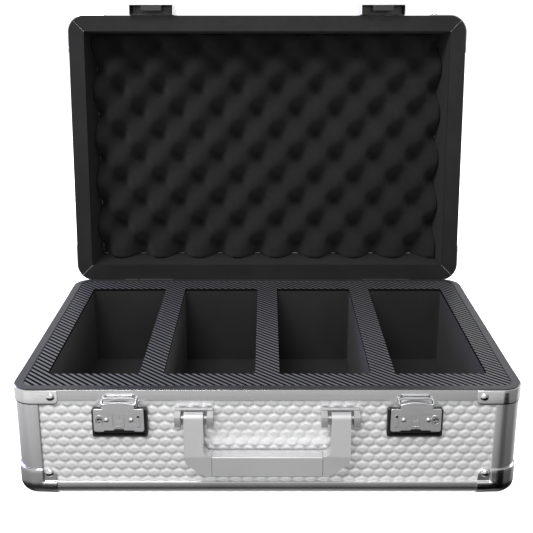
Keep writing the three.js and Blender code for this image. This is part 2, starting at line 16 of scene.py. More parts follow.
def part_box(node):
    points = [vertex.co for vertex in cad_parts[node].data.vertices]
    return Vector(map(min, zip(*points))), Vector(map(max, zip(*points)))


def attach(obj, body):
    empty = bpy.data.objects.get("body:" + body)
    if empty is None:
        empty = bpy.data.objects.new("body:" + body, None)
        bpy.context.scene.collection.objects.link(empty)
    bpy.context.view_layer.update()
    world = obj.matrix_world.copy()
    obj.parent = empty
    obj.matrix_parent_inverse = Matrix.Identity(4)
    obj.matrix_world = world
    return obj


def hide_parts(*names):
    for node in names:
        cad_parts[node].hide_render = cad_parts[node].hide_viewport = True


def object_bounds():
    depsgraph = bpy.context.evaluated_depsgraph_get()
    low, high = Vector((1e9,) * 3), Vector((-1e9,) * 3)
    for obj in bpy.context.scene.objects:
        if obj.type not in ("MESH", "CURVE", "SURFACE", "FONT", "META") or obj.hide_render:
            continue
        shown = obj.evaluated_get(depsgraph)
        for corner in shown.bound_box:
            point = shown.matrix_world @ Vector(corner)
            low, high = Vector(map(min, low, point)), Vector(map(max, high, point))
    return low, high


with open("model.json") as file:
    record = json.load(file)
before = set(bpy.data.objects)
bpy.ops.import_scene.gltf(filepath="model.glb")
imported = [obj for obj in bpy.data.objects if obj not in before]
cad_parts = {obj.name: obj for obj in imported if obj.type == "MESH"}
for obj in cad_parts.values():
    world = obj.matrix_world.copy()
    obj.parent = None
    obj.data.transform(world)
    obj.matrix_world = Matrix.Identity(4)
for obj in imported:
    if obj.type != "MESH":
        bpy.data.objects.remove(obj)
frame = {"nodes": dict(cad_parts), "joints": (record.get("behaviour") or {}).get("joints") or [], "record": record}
CAD_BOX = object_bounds()
MM = 0.001


# ---- sizes taken from the frame

def cad(node):
    """Lowest and highest corner of a CAD node as it stands in the frame."""
    low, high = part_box(node)
    return low / MM, high / MM


JOINTS = {joint["name"]: joint for joint in frame["joints"]}
HINGE = Vector(JOINTS["lid_hinge"]["pos_m"]) / MM
OPEN_ANGLE = radians(JOINTS["lid_hinge"]["range_deg"][1])
OPEN = Matrix.Translation(HINGE) @ Matrix.Rotation(-OPEN_ANGLE, 4, "X") @ Matrix.Translation(-HINGE)
CLOSE = OPEN.inverted()


def closed_cad(node):
    """Lowest and highest corner of a lid node with the lid closed."""
    points = [CLOSE @ (vertex.co / MM) for vertex in frame["nodes"][node].data.vertices]
    return tuple(Vector([pick(p[axis] for p in points) for axis in range(3)]) for pick in (min, max))


HALF_W, HALF_D, BASE_H = cad("base_rim_profile")[1]
CORNER_R = 20
LID_RIM_Z = closed_cad("lid_rim_profile")[0].z
LID_TOP_Z = closed_cad("lid_end_profile")[1].z
SKIN = 1.5
RIM_RAIL_H = BASE_H - cad("base_rim_profile")[0].z
END_RAIL_H = cad("base_end_profile")[1].z
PANEL_INSET = HALF_D + cad("base_front_panel")[0].y
PANEL_T = cad("base_front_panel")[1].y - cad("base_front_panel")[0].y
FLOOR_Z = CAD_BOX[0].z
LID_BAND_W = 18.8

# The base and the lid as mirror images: z of the rim plane, and which way the closed end lies
BASE_HALF = SimpleNamespace(prefix="base", body="root", rim=BASE_H, down=-1, height=BASE_H,
                            place=Matrix(), flange=8.2)
LID_HALF = SimpleNamespace(prefix="lid", body="lid", rim=LID_RIM_Z, down=1, height=LID_TOP_Z - LID_RIM_Z,
                           place=OPEN, flange=18.5)


def at(x, y, z):
    return Matrix.Translation((x, y, z))


# The front face: local x, y, z are X, Z and p
FRONT = Matrix(((1, 0, 0, 0), (0, 0, -1, -HALF_D), (0, 1, 0, 0), (0, 0, 0, 1)))
# Across the front face: local x, y, z are p, Z and -X
ACROSS = Matrix(((0, 0, -1, 0), (-1, 0, 0, -HALF_D), (0, 1, 0, 0), (0, 0, 0, 1)))


# ---- materials

class Nodes:
    """Short ways to add nodes to a material's or world's tree and to join them."""

    def __init__(self, owner):
        owner.use_nodes = True
        self.tree = owner.node_tree

    def node(self, kind, **properties):
        made = self.tree.nodes.new(kind)
        for key, value in properties.items():
            setattr(made, key, value)
        return made

    def link(self, output, socket):
        self.tree.links.new(output, socket)

    def scaled(self, value, start, end, low, high, **properties):
        """Maps start..end of a value to low..high."""
        made = self.node("ShaderNodeMapRange", **properties)
        for socket, number in (("From Min", start), ("From Max", end), ("To Min", low), ("To Max", high)):
            made.inputs[socket].default_value = number
        self.link(value, made.inputs["Value"])
        return made.outputs["Result"]


class Surface(Nodes):
    """A Principled material whose procedural nodes work in the frame's metres."""

    def __init__(self, name, base, metallic, roughness, **sockets):
        self.material = bpy.data.materials.new(name)
        super().__init__(self.material)
        self.shader = self.tree.nodes["Principled BSDF"]
        self.set("Base Color", (*base, 1))
        self.set("Metallic", metallic)
        self.set("Roughness", roughness)
        for socket, value in sockets.items():
            self.set(socket.replace("_", " "), value)
        self.coordinates = self.node("ShaderNodeTexCoord").outputs["Object"]
        self.height = None

    def set(self, socket, value):
        self.shader.inputs[socket].default_value = value

    def math(self, operation, *values):
        made = self.node("ShaderNodeMath", operation=operation)
        for socket, value in zip(made.inputs, values):
            if isinstance(value, (int, float)):
                socket.default_value = value
            else:
                self.link(value, socket)
        return made.outputs[0]

    def stretched(self, scale):
        mapping = self.node("ShaderNodeMapping")
        mapping.inputs["Scale"].default_value = scale
        self.link(self.coordinates, mapping.inputs["Vector"])
        return mapping.outputs["Vector"]

    def noise(self, scale, detail=3.0, stretch=(1, 1, 1)):
        made = self.node("ShaderNodeTexNoise")
        made.inputs["Scale"].default_value = scale
        made.inputs["Detail"].default_value = detail
        self.link(self.stretched(stretch), made.inputs["Vector"])
        return made.outputs["Fac"]

    def ramp(self, value, low, high, start=0.0, end=1.0):
        """Maps start..end of a value to low..high, which are numbers or colours."""
        if isinstance(low, (int, float)):
            return self.scaled(value, start, end, low, high)
        made = self.node("ShaderNodeValToRGB")
        made.color_ramp.elements[0].position = start
        made.color_ramp.elements[1].position = end
        made.color_ramp.elements[0].color = (*low, 1)
        made.color_ramp.elements[1].color = (*high, 1)
        self.link(value, made.inputs["Fac"])
        return made.outputs["Color"]

    def vary(self, socket, value, low, high, start=0.3, end=0.7):
        """Lets a value take a shader socket from low to high as it goes from start to end."""
        self.link(self.ramp(value, low, high, start, end), self.shader.inputs[socket])

    def bump(self, output, distance, strength=1.0):
        made = self.node("ShaderNodeBump")
        made.inputs["Strength"].default_value = strength
        made.inputs["Distance"].default_value = distance
        self.link(output, made.inputs["Height"])
        if self.height is not None:
            self.link(self.height, made.inputs["Normal"])
        self.height = made.outputs["Normal"]
        self.link(self.height, self.shader.inputs["Normal"])


def panel_surface():
    """Pale rolled aluminium sheet: faint clouding and a soft sheen."""
    surface = Surface("panel_aluminium", (0.86, 0.86, 0.87), 0.6, 0.38)
    surface.vary("Base Color", surface.noise(14), (0.8, 0.8, 0.81), (0.9, 0.9, 0.905))
    surface.vary("Roughness", surface.noise(60), 0.35, 0.42)
    return surface.material


def profile_surface(name, stretch):
    """Extruded aluminium with die lines along its length."""
    surface = Surface(name, (0.7, 0.7, 0.71), 0.95, 0.27)
    lines = surface.noise(1.0, 5, stretch)
    surface.vary("Base Color", lines, (0.68, 0.68, 0.69), (0.73, 0.73, 0.74))
    surface.vary("Roughness", surface.noise(12), 0.21, 0.25)
    return surface.material


def guard_surface():
    """Bright pressed steel, faintly rippled, with fine handling scratches."""
    surface = Surface("guard_steel", (0.78, 0.78, 0.79), 1.0, 0.2)
    surface.bump(surface.noise(40, 1), 0.0001, 0.5)
    scratches = surface.noise(1.0, 4, (90, 90, 1900))
    surface.vary("Roughness", scratches, 0.08, 0.24, 0.45, 0.75)
    surface.vary("Base Color", surface.noise(25), (0.74, 0.74, 0.75), (0.84, 0.84, 0.85))
    return surface.material


def hardware_surface():
    """Satin nickel-plated steel, brushed across, with soft clouding."""
    surface = Surface("hardware_steel", (0.68, 0.68, 0.69), 1.0, 0.33)
    brushed = surface.noise(1.0, 4, (60, 60, 2400))
    surface.vary("Base Color", brushed, (0.6, 0.6, 0.61), (0.74, 0.74, 0.75))
    surface.vary("Roughness", surface.noise(70), 0.26, 0.42)
    return surface.material


def handle_surface():
    """Satin silver lacquer over a moulding, faintly clouded."""
    surface = Surface("handle_silver", (0.5, 0.5, 0.505), 0.5, 0.36)
    surface.vary("Base Color", surface.noise(18), (0.5, 0.5, 0.505), (0.55, 0.55, 0.555))
    surface.vary("Roughness", surface.noise(30), 0.42, 0.48)
    return surface.material


def plastic_surface(name, low, high, roughness, specular=0.5):
    """Moulded plastic with a fine spark-eroded grain."""
    surface = Surface(name, low, 0.0, roughness, Specular_IOR_Level=specular)
    surface.vary("Base Color", surface.noise(30), low, high)
    surface.vary("Roughness", surface.noise(140), roughness * 0.85, roughness * 1.15)
    surface.bump(surface.noise(1800, 2), 0.00004, 0.6)
    return surface.material


def deck_surface():
    """Twill weave under clear gloss: diagonal ribs, each broken into short tows by the crossing threads."""
    surface = Surface("deck_weave", (0.05, 0.05, 0.055), 0.0, 0.3, Specular_IOR_Level=0.6)
    parts = surface.node("ShaderNodeSeparateXYZ")
    surface.link(surface.coordinates, parts.inputs[0])
    x, y = parts.outputs["X"], parts.outputs["Y"]
    per_metre = 2 * pi / (TWILL_PITCH * MM * sqrt(2))
    across = surface.math("MULTIPLY", surface.math("ADD", x, y), per_metre)
    rib = surface.ramp(surface.math("SINE", across), 0.0, 1.0, -0.25, 0.6)
    along = surface.math("MULTIPLY", x, TOWS_PER_RIB * per_metre)
    tow = surface.ramp(surface.math("SINE", along), 0.78, 1.0, -1.0, 1.0)
    top = surface.math("GREATER_THAN", parts.outputs["Z"], (cad("deck_plate")[1].z - 0.2) * MM)
    weave = surface.math("MULTIPLY", surface.math("MULTIPLY", rib, tow), top)
    surface.vary("Base Color", weave, (0.006, 0.006, 0.006), (0.11, 0.11, 0.115), 0, 1)
    surface.vary("Specular IOR Level", weave, 0.0, 0.5, 0, 1)
    surface.vary("Roughness", weave, 0.3, 0.42, 0, 1)
    return surface.material


def foam_surface(name, low, high):
    """Charcoal open-cell foam: matt, with a fine pore and a soft nap."""
    surface = Surface(name, low, 0.0, 0.95, Sheen_Weight=0.05, Sheen_Roughness=0.6, Specular_IOR_Level=0.2)
    surface.vary("Base Color", surface.noise(9), low, high, 0.35, 0.65)
    cells = surface.node("ShaderNodeTexVoronoi")
    cells.inputs["Scale"].default_value = 950
    surface.link(surface.coordinates, cells.inputs["Vector"])
    surface.bump(cells.outputs["Distance"], 0.0003, 0.45)
    surface.bump(surface.noise(160, 3), 0.0005, 0.3)
    return surface.material


TWILL_PITCH = 5.25
TOWS_PER_RIB = 4

# Each finish with its slot in the record and its material
MATERIALS = {
    "panel": ("panel_aluminium", panel_surface()),
    "rail": ("profile_aluminium", profile_surface("profile_aluminium_rail", (9, 9, 700))),
    "post": ("profile_aluminium", profile_surface("profile_aluminium_post", (700, 700, 9))),
    "guard": ("guard_steel", guard_surface()),
    "steel": ("hardware_steel", hardware_surface()),
    "handle": ("handle_silver", handle_surface()),
    "trim": ("rim_strip", plastic_surface("rim_strip", (0.022, 0.022, 0.025), (0.03, 0.03, 0.034), 0.34)),
    "band": ("rim_strip", plastic_surface("lid_band_strip",
            (0.007, 0.007, 0.007), (0.01, 0.01, 0.0105), 0.36, 0.2)),
    "tray": ("tray_plastic", plastic_surface("tray_plastic",
            (0.004, 0.004, 0.004), (0.007, 0.007, 0.007), 0.4)),
    "deck": ("deck_weave", deck_surface()),
    "foam": ("foam", foam_surface("foam_insert", (0.017, 0.017, 0.017), (0.024, 0.024, 0.024))),
    "lid_foam": ("foam", foam_surface("foam_egg_crate",
            (0.0115, 0.0115, 0.0116), (0.0155, 0.0155, 0.0156))),
    "lining": ("foam", foam_surface("foam_lining", (0.0025, 0.0025, 0.0025), (0.004, 0.004, 0.004))),
}


# ---- mesh making

WELD = 0.002
SHARP = radians(32)


def linked(name, data):
    """A new object in the scene that holds a mesh, curve, light or camera."""
    made = bpy.data.objects.new(name, data)
    bpy.context.scene.collection.objects.link(made)
    return made


def from_bmesh(name, bm):
    mesh = bpy.data.meshes.new(name)
    bm.to_mesh(mesh)
    bm.free()
    return linked(name, mesh)


def to_object(name, bm, place=Matrix()):
    """Welds a mesh that is in millimetres, places it, scales it to metres and makes it an object."""
    bmesh.ops.remove_doubles(bm, verts=bm.verts, dist=WELD)
    bmesh.ops.recalc_face_normals(bm, faces=bm.faces)
    bmesh.ops.transform(bm, matrix=Matrix.Scale(MM, 4) @ place, verts=bm.verts)
    return from_bmesh(name, bm)


def smooth(obj, angle=SHARP):
    """Smooth shading with edges sharper than the angle kept sharp."""
    bm = bmesh.new()
    bm.from_mesh(obj.data)
    for face in bm.faces:
        face.smooth = True
    for edge in bm.edges:
        edge.smooth = len(edge.link_faces) == 2 and edge.calc_face_angle(0) < angle
    bm.to_mesh(obj.data)
    bm.free()
    modified(obj, "WEIGHTED_NORMAL", keep_sharp=True)


def evaluated(obj):
    """The mesh of an object with its modifiers, or of a curve."""
    depsgraph = bpy.context.evaluated_depsgraph_get()
    return bpy.data.meshes.new_from_object(obj.evaluated_get(depsgraph), depsgraph=depsgraph)


def modified(obj, kind, **settings):
    """Applies a modifier to an object's mesh."""
    modifier = obj.modifiers.new(kind.lower(), kind)
    for key, value in settings.items():
        setattr(modifier, key, value)
    made = evaluated(obj)
    obj.modifiers.clear()
    obj.data = made
    return obj


def bevelled(obj, width, segments=2, angle=40):
    return modified(obj, "BEVEL", width=width * MM, segments=segments, limit_method="ANGLE",
                    angle_limit=radians(angle), use_clamp_overlap=True)


def combined(obj, other, operation="DIFFERENCE"):
    """obj with other cut out of it or joined to it; other is used up."""
    modified(obj, "BOOLEAN", operation=operation, object=other, solver="EXACT")
    bpy.data.objects.remove(other)
    return obj


def merged(name, *parts):
    """Several objects' shells as one object."""
    bm = bmesh.new()
    for part in parts:
        bm.from_mesh(part.data)
        bpy.data.objects.remove(part)
    return from_bmesh(name, bm)


def piece(obj, name, body, finish, angle=SHARP):
    """Names, shades, paints and mounts a finished piece."""
    smooth(obj, angle)
    obj.name = name
    slot, material = MATERIALS[finish]
    obj.data.materials.clear()
    obj.data.materials.append(material)
    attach(obj, body)


def cover(obj, node, suffix, body, finish, angle=SHARP):
    """A finished piece that stands in for a CAD node and is named after it."""
    piece(obj, f"{node}_{suffix}", body, finish, angle)
    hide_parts(node)


def plate(outlines, low, high, place=Matrix(), bevel=0.3, segments=2):
    """A flat plate from outlines, the first outside and the others holes, with rounded edges."""
    curve = bpy.data.curves.new("plate", "CURVE")
    curve.dimensions = "2D"
    curve.fill_mode = "BOTH"
    curve.extrude = (high - low) / 2 - bevel
    curve.bevel_depth = bevel
    curve.bevel_resolution = segments
    curve.offset = -bevel
    for points in outlines:
        spline = curve.splines.new("POLY")
        spline.points.add(len(points) - 1)
        for target, point in zip(spline.points, points):
            target.co = (point[0], point[1], 0, 1)
        spline.use_cyclic_u = True
    holder = linked("plate", curve)
    flat = evaluated(holder)
    bpy.data.objects.remove(holder)
    bm = bmesh.new()
    bm.from_mesh(flat)
    return to_object("plate", bm, place @ at(0, 0, (low + high) / 2))


def arc(x, y, radius, start, end, steps=8):
    """Points along an arc, angles in degrees."""
    turns = [radians(start + (end - start) * i / steps) for i in range(steps + 1)]
    return [(x + radius * cos(t), y + radius * sin(t)) for t in turns]


def quarter(steps):
    """Angles of a quarter turn in equal steps."""
    return [pi / 2 * i / steps for i in range(steps + 1)]


def rounded(half_w, half_h, radius, x=0, y=0, steps=8):
    """A rounded rectangle's outline, anticlockwise."""
    dx, dy = half_w - radius, half_h - radius
    corners = ((dx, -dy, -90), (dx, dy, 0), (-dx, dy, 90), (-dx, -dy, 180))
    return [point for cx, cy, turn in corners
            for point in arc(x + cx, y + cy, radius, turn, turn + 90, steps)]


def slab(shape, low, high, place=Matrix(), bevel=0.3, segments=2):
    """A plate whose outline is one rounded rectangle, given as rounded() takes it."""
    return plate([rounded(*shape)], low, high, place, bevel, segments)


def mirrored(points):
    """An outline's right half with its mirror image on the left."""
    return [(-x, y) for x, y in reversed(points)] + list(points)


def lathe(profile, place=Matrix(), steps=28):
    """A solid of revolution about local z; the profile is (radius, z) from its foot to its top."""
    bm = bmesh.new()
    rings = []
    for radius, z in profile:
        around = [2 * pi * i / steps for i in range(steps)]
        rings.append([bm.verts.new((radius * cos(t), radius * sin(t), z)) for t in around])
    for lower, upper in zip(rings, rings[1:]):
        for i in range(steps):
            j = (i + 1) % steps
            bm.faces.new((lower[i], lower[j], upper[j], upper[i]))
    bm.faces.new(list(reversed(rings[0])))
    bm.faces.new(rings[-1])
    return to_object("lathe", bm, place)


def dome(radius, height, place, foot=0.5):
    """A rivet head: a short cylindrical foot and an elliptical dome."""
    rise = [(radius * cos(t), height * sin(t)) for t in quarter(6)[:-1]]
    return lathe([(radius, -foot), *rise, (radius * 0.08, height * 0.995)], place)


def rod(radius, x0, x1, place, chamfer=0.2, steps=28):
    """A bar along local x with chamfered ends."""
    small = radius - chamfer
    profile = [(small, x0), (radius, x0 + chamfer), (radius, x1 - chamfer), (small, x1)]
    return lathe(profile, place @ Matrix.Rotation(pi / 2, 4, "Y"), steps)


# ---- sweeps round the case

def step(value, edge, width):
    """0 below an edge and 1 above it, with a smooth ramp of that width."""
    t = min(max((value - edge) / width + 0.5, 0), 1)
    return t * t * (3 - 2 * t)


BEND_LEAD = 14


def corner_stations(sx, sy, leg, steps=16, marks=()):
    """Stations round one corner, from the end of its leg on the front or rear to the end of its side leg.
    Each is (x, y, normal x, normal y, how far along, bend). bend rises from 0 to 1 over the BEND_LEAD
    before the round. marks adds stations at those distances from both ends."""
    straight = leg - CORNER_R
    length = 2 * straight + CORNER_R * pi / 2
    cx, cy = sx * (HALF_W - CORNER_R), sy * (HALF_D - CORNER_R)
    round_marks = [straight + CORNER_R * pi / 2 * i / steps for i in range(steps + 1)]
    ends = [m for mark in marks for m in (mark, length - mark)]
    stations = []
    for s in sorted({round(value, 4) for value in [0, length, *round_marks, *ends]}):
        turn = min(max((s - straight) / CORNER_R, 0), pi / 2)
        nx, ny = sx * sin(turn), sy * cos(turn)
        lead = max(straight - s, 0)
        tail = max(s - straight - CORNER_R * pi / 2, 0)
        x = cx + CORNER_R * nx - sx * lead
        y = cy + CORNER_R * ny - sy * tail
        stations.append((x, y, nx, ny, s, step(-max(lead, tail), -BEND_LEAD / 2, BEND_LEAD)))
    return stations


def round_stations(steps=16):
    """Stations all the way round the case's outline."""
    made = []
    lead_in = [BEND_LEAD * i / 5 for i in range(1, 5)]
    for sx, sy, flip in ((-1, -1, False), (-1, 1, True), (1, 1, False), (1, -1, True)):
        corner = corner_stations(sx, sy, CORNER_R + BEND_LEAD, steps, lead_in)
        made += list(reversed(corner)) if flip else corner
    return made


def sweep(stations, section, place=Matrix(), closed=True):
    """Carries a closed section of (inset, z) points along stations. section is given each one's bend."""
    bm = bmesh.new()
    loops = []
    for x, y, nx, ny, _, bend in stations:
        loops.append([bm.verts.new((x - nx * inset, y - ny * inset, z)) for inset, z in section(bend)])
    pairs = list(zip(loops, loops[1:]))
    if closed:
        pairs.append((loops[-1], loops[0]))
    for a, b in pairs:
        for i in range(len(a)):
            j = (i + 1) % len(a)
            bm.faces.new((a[i], a[j], b[j], b[i]))
    if not closed:
        bm.faces.new(loops[0])
        bm.faces.new(loops[-1])
    return to_object("sweep", bm, place)


def half_z(half, depth):
    """Height of a point that lies depth below the half's rim, towards its closed end."""
    return half.rim + half.down * depth


def cut_hinge_notches(made, foot):
    """Cuts room for both hinges' knuckles into a rim part, from a height upwards."""
    low, high = cad("hinge_base_leaf_right")
    width = high.x - low.x + 0.6
    for sx in (-1, 1):
        notch = rounded(width / 2, 1.8, 0.3, sx * (low.x + high.x) / 2, HALF_D + 0.3)
        combined(made, plate([notch], foot, BASE_H + 3, bevel=0.1))


def rim_profile(half):
    """The open rim's profile: a rail with eased edges and an inner flange."""
    name = f"{half.prefix}_rim_profile"
    low, high = (cad if half is BASE_HALF else closed_cad)(name)
    flange, ease, rail = half.flange, 0.18, high.z - low.z
    eased = [(ease - ease * sin(t), ease - ease * cos(t)) for t in quarter(4)]
    section = [(SKIN, rail), (SKIN, SKIN), (flange, SKIN), (flange, 0), *eased,
               (0, rail - 0.5), (0.15, rail - 0.15), (0.5, rail)]
    points = [(inset, half_z(half, depth)) for inset, depth in section]
    made = sweep(round_stations(), lambda bend: points)
    if half is BASE_HALF:
        cut_hinge_notches(made, HINGE.z - 2.2)
    made.data.transform(Matrix.Scale(1 / MM, 4).inverted() @ half.place @ Matrix.Scale(1 / MM, 4))
    cover(made, name, "rail", half.body, "rail")


RAIL_ROLL = 8.2
ROLL_STEPS = 7


def end_profile(half):
    """The closed end's profile: a rail that rolls under with a radius, wider at the corners."""
    name = f"{half.prefix}_end_profile"
    height, rail, flange = half.height, END_RAIL_H, 12

    def section(bend):
        roll = RAIL_ROLL + bend
        turns, top = quarter(ROLL_STEPS), height - rail
        under = [(roll - roll * cos(t), height - roll + roll * sin(t)) for t in turns]
        lip = [(SKIN, top), (0.6, top), (0.15, top + 0.15), (0, top + 0.6)]
        inner = [(flange, height), (flange, height - SKIN), (roll, height - SKIN)]
        inside = roll - SKIN
        back = [(roll - inside * sin(t), height - roll + inside * cos(t)) for t in turns]
        return [(inset, half_z(half, depth)) for inset, depth in [*lip, *under, *inner, *back[1:]]]

    made = sweep(round_stations(), section, half.place)
    cover(made, name, "rail", half.body, "rail")


POST_LEG = 25.5


def corner_post(half, side_y, sy, side_x, sx):
    """A rounded corner post standing between the two rails, with softly rolled vertical edges."""
    name = f"{half.prefix}_corner_post_{side_y}_{side_x}"
    stations = corner_stations(sx, sy, POST_LEG, 14, (0.25, 0.8))
    length = stations[-1][4]

    def drop(s):
        edge = min(s, length - s)
        return 0.55 * (1 - min(edge / 0.8, 1)) ** 2

    outer = [(x - nx * drop(s), y - ny * drop(s)) for x, y, nx, ny, s, _ in stations]
    inner = [(x - nx * SKIN, y - ny * SKIN) for x, y, nx, ny, _, _ in reversed(stations)]
    ends = sorted((half_z(half, RIM_RAIL_H + 0.3), half_z(half, half.height - END_RAIL_H - 0.3)))
    made = plate([outer + inner], *ends, half.place, 0.12, 1)
    cover(made, name, "cover", half.body, "post")


# ---- embossed panels

END_PANEL_INSET = 12.3
EMBOSS_SHARP = radians(14)
HEX_PITCH = 12.1
HEX_ROW = 8.3
HEX_RELIEF = 0.52
HEX_RINGS = ((1.0, 0.0), (0.92, 0.0), (0.88, 0.06), (0.5, 0.95), (0.44, 1.0))


def backed(bm, z, flare=0, reach=None):
    """Closes a sheet with a flat back at z. flare widens the back, where the sheet's edge is near reach."""
    rim = [edge for edge in bm.edges if edge.is_boundary]
    drop = bmesh.ops.extrude_edge_only(bm, edges=rim)["geom"]
    for vertex in (item for item in drop if isinstance(item, bmesh.types.BMVert)):
        vertex.co.z = z
        for axis in range(2 if flare else 0):
            if reach[axis] - abs(vertex.co[axis]) < 2:
                vertex.co[axis] += copysign(flare, vertex.co[axis])
    bmesh.ops.contextual_create(bm, geom=[item for item in drop if isinstance(item, bmesh.types.BMEdge)])


def embossed(half_w, half_h, thickness, place, chamfer=0):
    """A sheet with rows of pillowed hexagons on its face, whose tops are at local z = 0, and a flat back."""
    bm = bmesh.new()
    tall = HEX_ROW * 2 / 3
    hexagon = [(0, tall), (HEX_PITCH / 2, tall / 2), (HEX_PITCH / 2, -tall / 2),
               (0, -tall), (-HEX_PITCH / 2, -tall / 2), (-HEX_PITCH / 2, tall / 2)]
    rows = ceil(half_h / HEX_ROW) + 1
    columns = ceil(half_w / HEX_PITCH) + 1
    for row in range(-rows, rows + 1):
        for column in range(-columns, columns + 1):
            cx = (column + 0.5 * (row % 2)) * HEX_PITCH
            cy = row * HEX_ROW
            rings = [[bm.verts.new((cx + x * scale, cy + y * scale, HEX_RELIEF * (rise - 1)))
                      for x, y in hexagon] for scale, rise in HEX_RINGS]
            for outer, inner in zip(rings, rings[1:]):
                for i in range(6):
                    j = (i + 1) % 6
                    bm.faces.new((outer[j], outer[i], inner[i], inner[j]))
            top = bm.verts.new((cx, cy, 0))
            for i in range(6):
                bm.faces.new((rings[-1][(i + 1) % 6], rings[-1][i], top))
    bmesh.ops.remove_doubles(bm, verts=bm.verts, dist=0.05)
    cuts = [((half_w, 0), (1, 0)), ((-half_w, 0), (-1, 0)),
            ((0, half_h), (0, 1)), ((0, -half_h), (0, -1))]
    if chamfer:
        cuts += [((sx * (half_w - chamfer), sy * half_h), (sx, sy)) for sx in (-1, 1) for sy in (-1, 1)]
    for point, normal in cuts:
        bmesh.ops.bisect_plane(bm, geom=[*bm.verts, *bm.edges, *bm.faces], dist=1e-4,
                               plane_co=(*point, 0), plane_no=(*normal, 0), clear_outer=True)
    backed(bm, -thickness)
    return to_object("embossed", bm, place)


def panels(half):
    """The four side panels and the end panel of one half."""
    span = sorted((half_z(half, SKIN + 0.3), half_z(half, half.height - SKIN - 0.3)))
    middle, half_h = (span[0] + span[1]) / 2, (span[1] - span[0]) / 2
    walls = (("front", 0, HALF_D, HALF_W), ("rear", 180, HALF_D, HALF_W),
             ("left", -90, HALF_W, HALF_D), ("right", 90, HALF_W, HALF_D))
    upright = Matrix.Rotation(pi / 2, 4, "X")
    for side, turn, distance, width in walls:
        place = (half.place @ Matrix.Rotation(radians(turn), 4, "Z")
                 @ at(0, -distance + PANEL_INSET, middle) @ upright)
        name = f"{half.prefix}_{side}_panel"
        made = embossed(width - CORNER_R, half_h, PANEL_T, place)
        cover(made, name, "sheet", half.body, "panel", EMBOSS_SHARP)
    name = f"{half.prefix}_end_panel"
    flip = Matrix.Rotation(pi, 4, "X") if half is BASE_HALF else Matrix()
    place = half.place @ at(0, 0, half_z(half, half.height)) @ flip
    made = embossed(HALF_W - END_PANEL_INSET, HALF_D - END_PANEL_INSET, PANEL_T, place, 4.5)
    cover(made, name, "sheet", half.body, "panel", EMBOSS_SHARP)


# ---- corner guards

GUARD_T = 1.2
GUARD_OUT = 1.4
GUARD_ROLL = 10


def tab_marks(radius, steps):
    """Distances from a tab's edge that follow its rounded corner."""
    return [radius * (1 - cos(t)) for t in quarter(steps)]


def tab_fall(radius, edge):
    """How far a tab's rounded corner falls away at a distance from the tab's edge."""
    return radius - sqrt(max(radius ** 2 - max(radius - edge, 0) ** 2, 0))


def guard_skin(stations, columns, place):
    """A pressed skin from a grid of (inset, z) columns, one for each station, thickened inwards."""
    bm = bmesh.new()
    grid = [[bm.verts.new((x - nx * inset, y - ny * inset, z)) for inset, z in column]
            for (x, y, nx, ny, _, _), column in zip(stations, columns)]
    for a, b in zip(grid, grid[1:]):
        for i in range(len(a) - 1):
            bm.faces.new((a[i], a[i + 1], b[i + 1], b[i]))
    bmesh.ops.recalc_face_normals(bm, faces=bm.faces)
    middle = grid[len(grid) // 2][0]
    x, y, nx, ny, _, _ = stations[len(grid) // 2]
    if middle.link_faces[0].normal.dot(Vector((nx, ny, 0))) < 0:
        bmesh.ops.reverse_faces(bm, faces=bm.faces)
    bmesh.ops.transform(bm, matrix=Matrix.Scale(MM, 4) @ place, verts=bm.verts)
    made = from_bmesh("guard", bm)
    modified(made, "SOLIDIFY", thickness=GUARD_T * MM, offset=-1)
    return bevelled(made, 0.3, 2, 50)


def ball_corner(half, side_y, sy, side_x, sx):
    """The three-way guard of a closed-end corner. Its two tabs lie on the panels, and it steps out over the
    posts and the rail. Its foot rolls under with a radius that grows towards the corner."""
    name = f"{half.prefix}_ball_corner_{side_y}_{side_x}"
    leg, height, tab_r, joggle, shelf, foot = 38, 27, 8, 12.5, 13.7, 12
    rivet_in, rivet_up = 31, 22.6
    under = PANEL_INSET - GUARD_T - 0.1
    marks = [*tab_marks(tab_r, 5), joggle - 0.9, joggle, joggle + 0.9, 6, 9, 15, 16.5]
    stations = corner_stations(sx, sy, leg, 18, marks)
    length = stations[-1][4]
    end = half.height
    columns = []
    for *_, s, bend in stations:
        edge = min(s, length - s)
        top = height - tab_fall(tab_r, edge)
        rows = [top + (15 - top) * i / 3 for i in range(4)] + [shelf + 0.6, shelf, shelf - 0.6]
        on_panel = 1 - step(edge, joggle, 1.8)
        column = [((under + GUARD_OUT) * on_panel * step(z, shelf, 1.2) - GUARD_OUT, z) for z in rows]
        roll = GUARD_ROLL + bend
        centre = roll - GUARD_OUT
        column += [(centre - roll * cos(t), centre - roll * sin(t)) for t in quarter(ROLL_STEPS)]
        column += [((centre + foot) / 2, -GUARD_OUT), (foot, -GUARD_OUT)]
        columns.append([(inset, half_z(half, end - z)) for inset, z in column])
    made = guard_skin(stations, columns, half.place)
    rivets = guard_rivets(half, sx, sy, rivet_in, half_z(half, end - rivet_up), -under)
    cover(merged(name, made, *rivets), name, "guard", half.body, "guard")


def guard_rivets(half, sx, sy, from_corner, z, proud, radius=4.0, rise=1.5):
    """Two domed rivets of a guard, one on each of its legs."""
    facing_y = at(sx * (HALF_W - from_corner), sy * (HALF_D + proud), z)
    facing_x = at(sx * (HALF_W + proud), sy * (HALF_D - from_corner), z)
    return [dome(radius, rise, half.place @ facing_y @ Matrix.Rotation(-sy * pi / 2, 4, "X")),
            dome(radius, rise, half.place @ facing_x @ Matrix.Rotation(sx * pi / 2, 4, "Y"))]


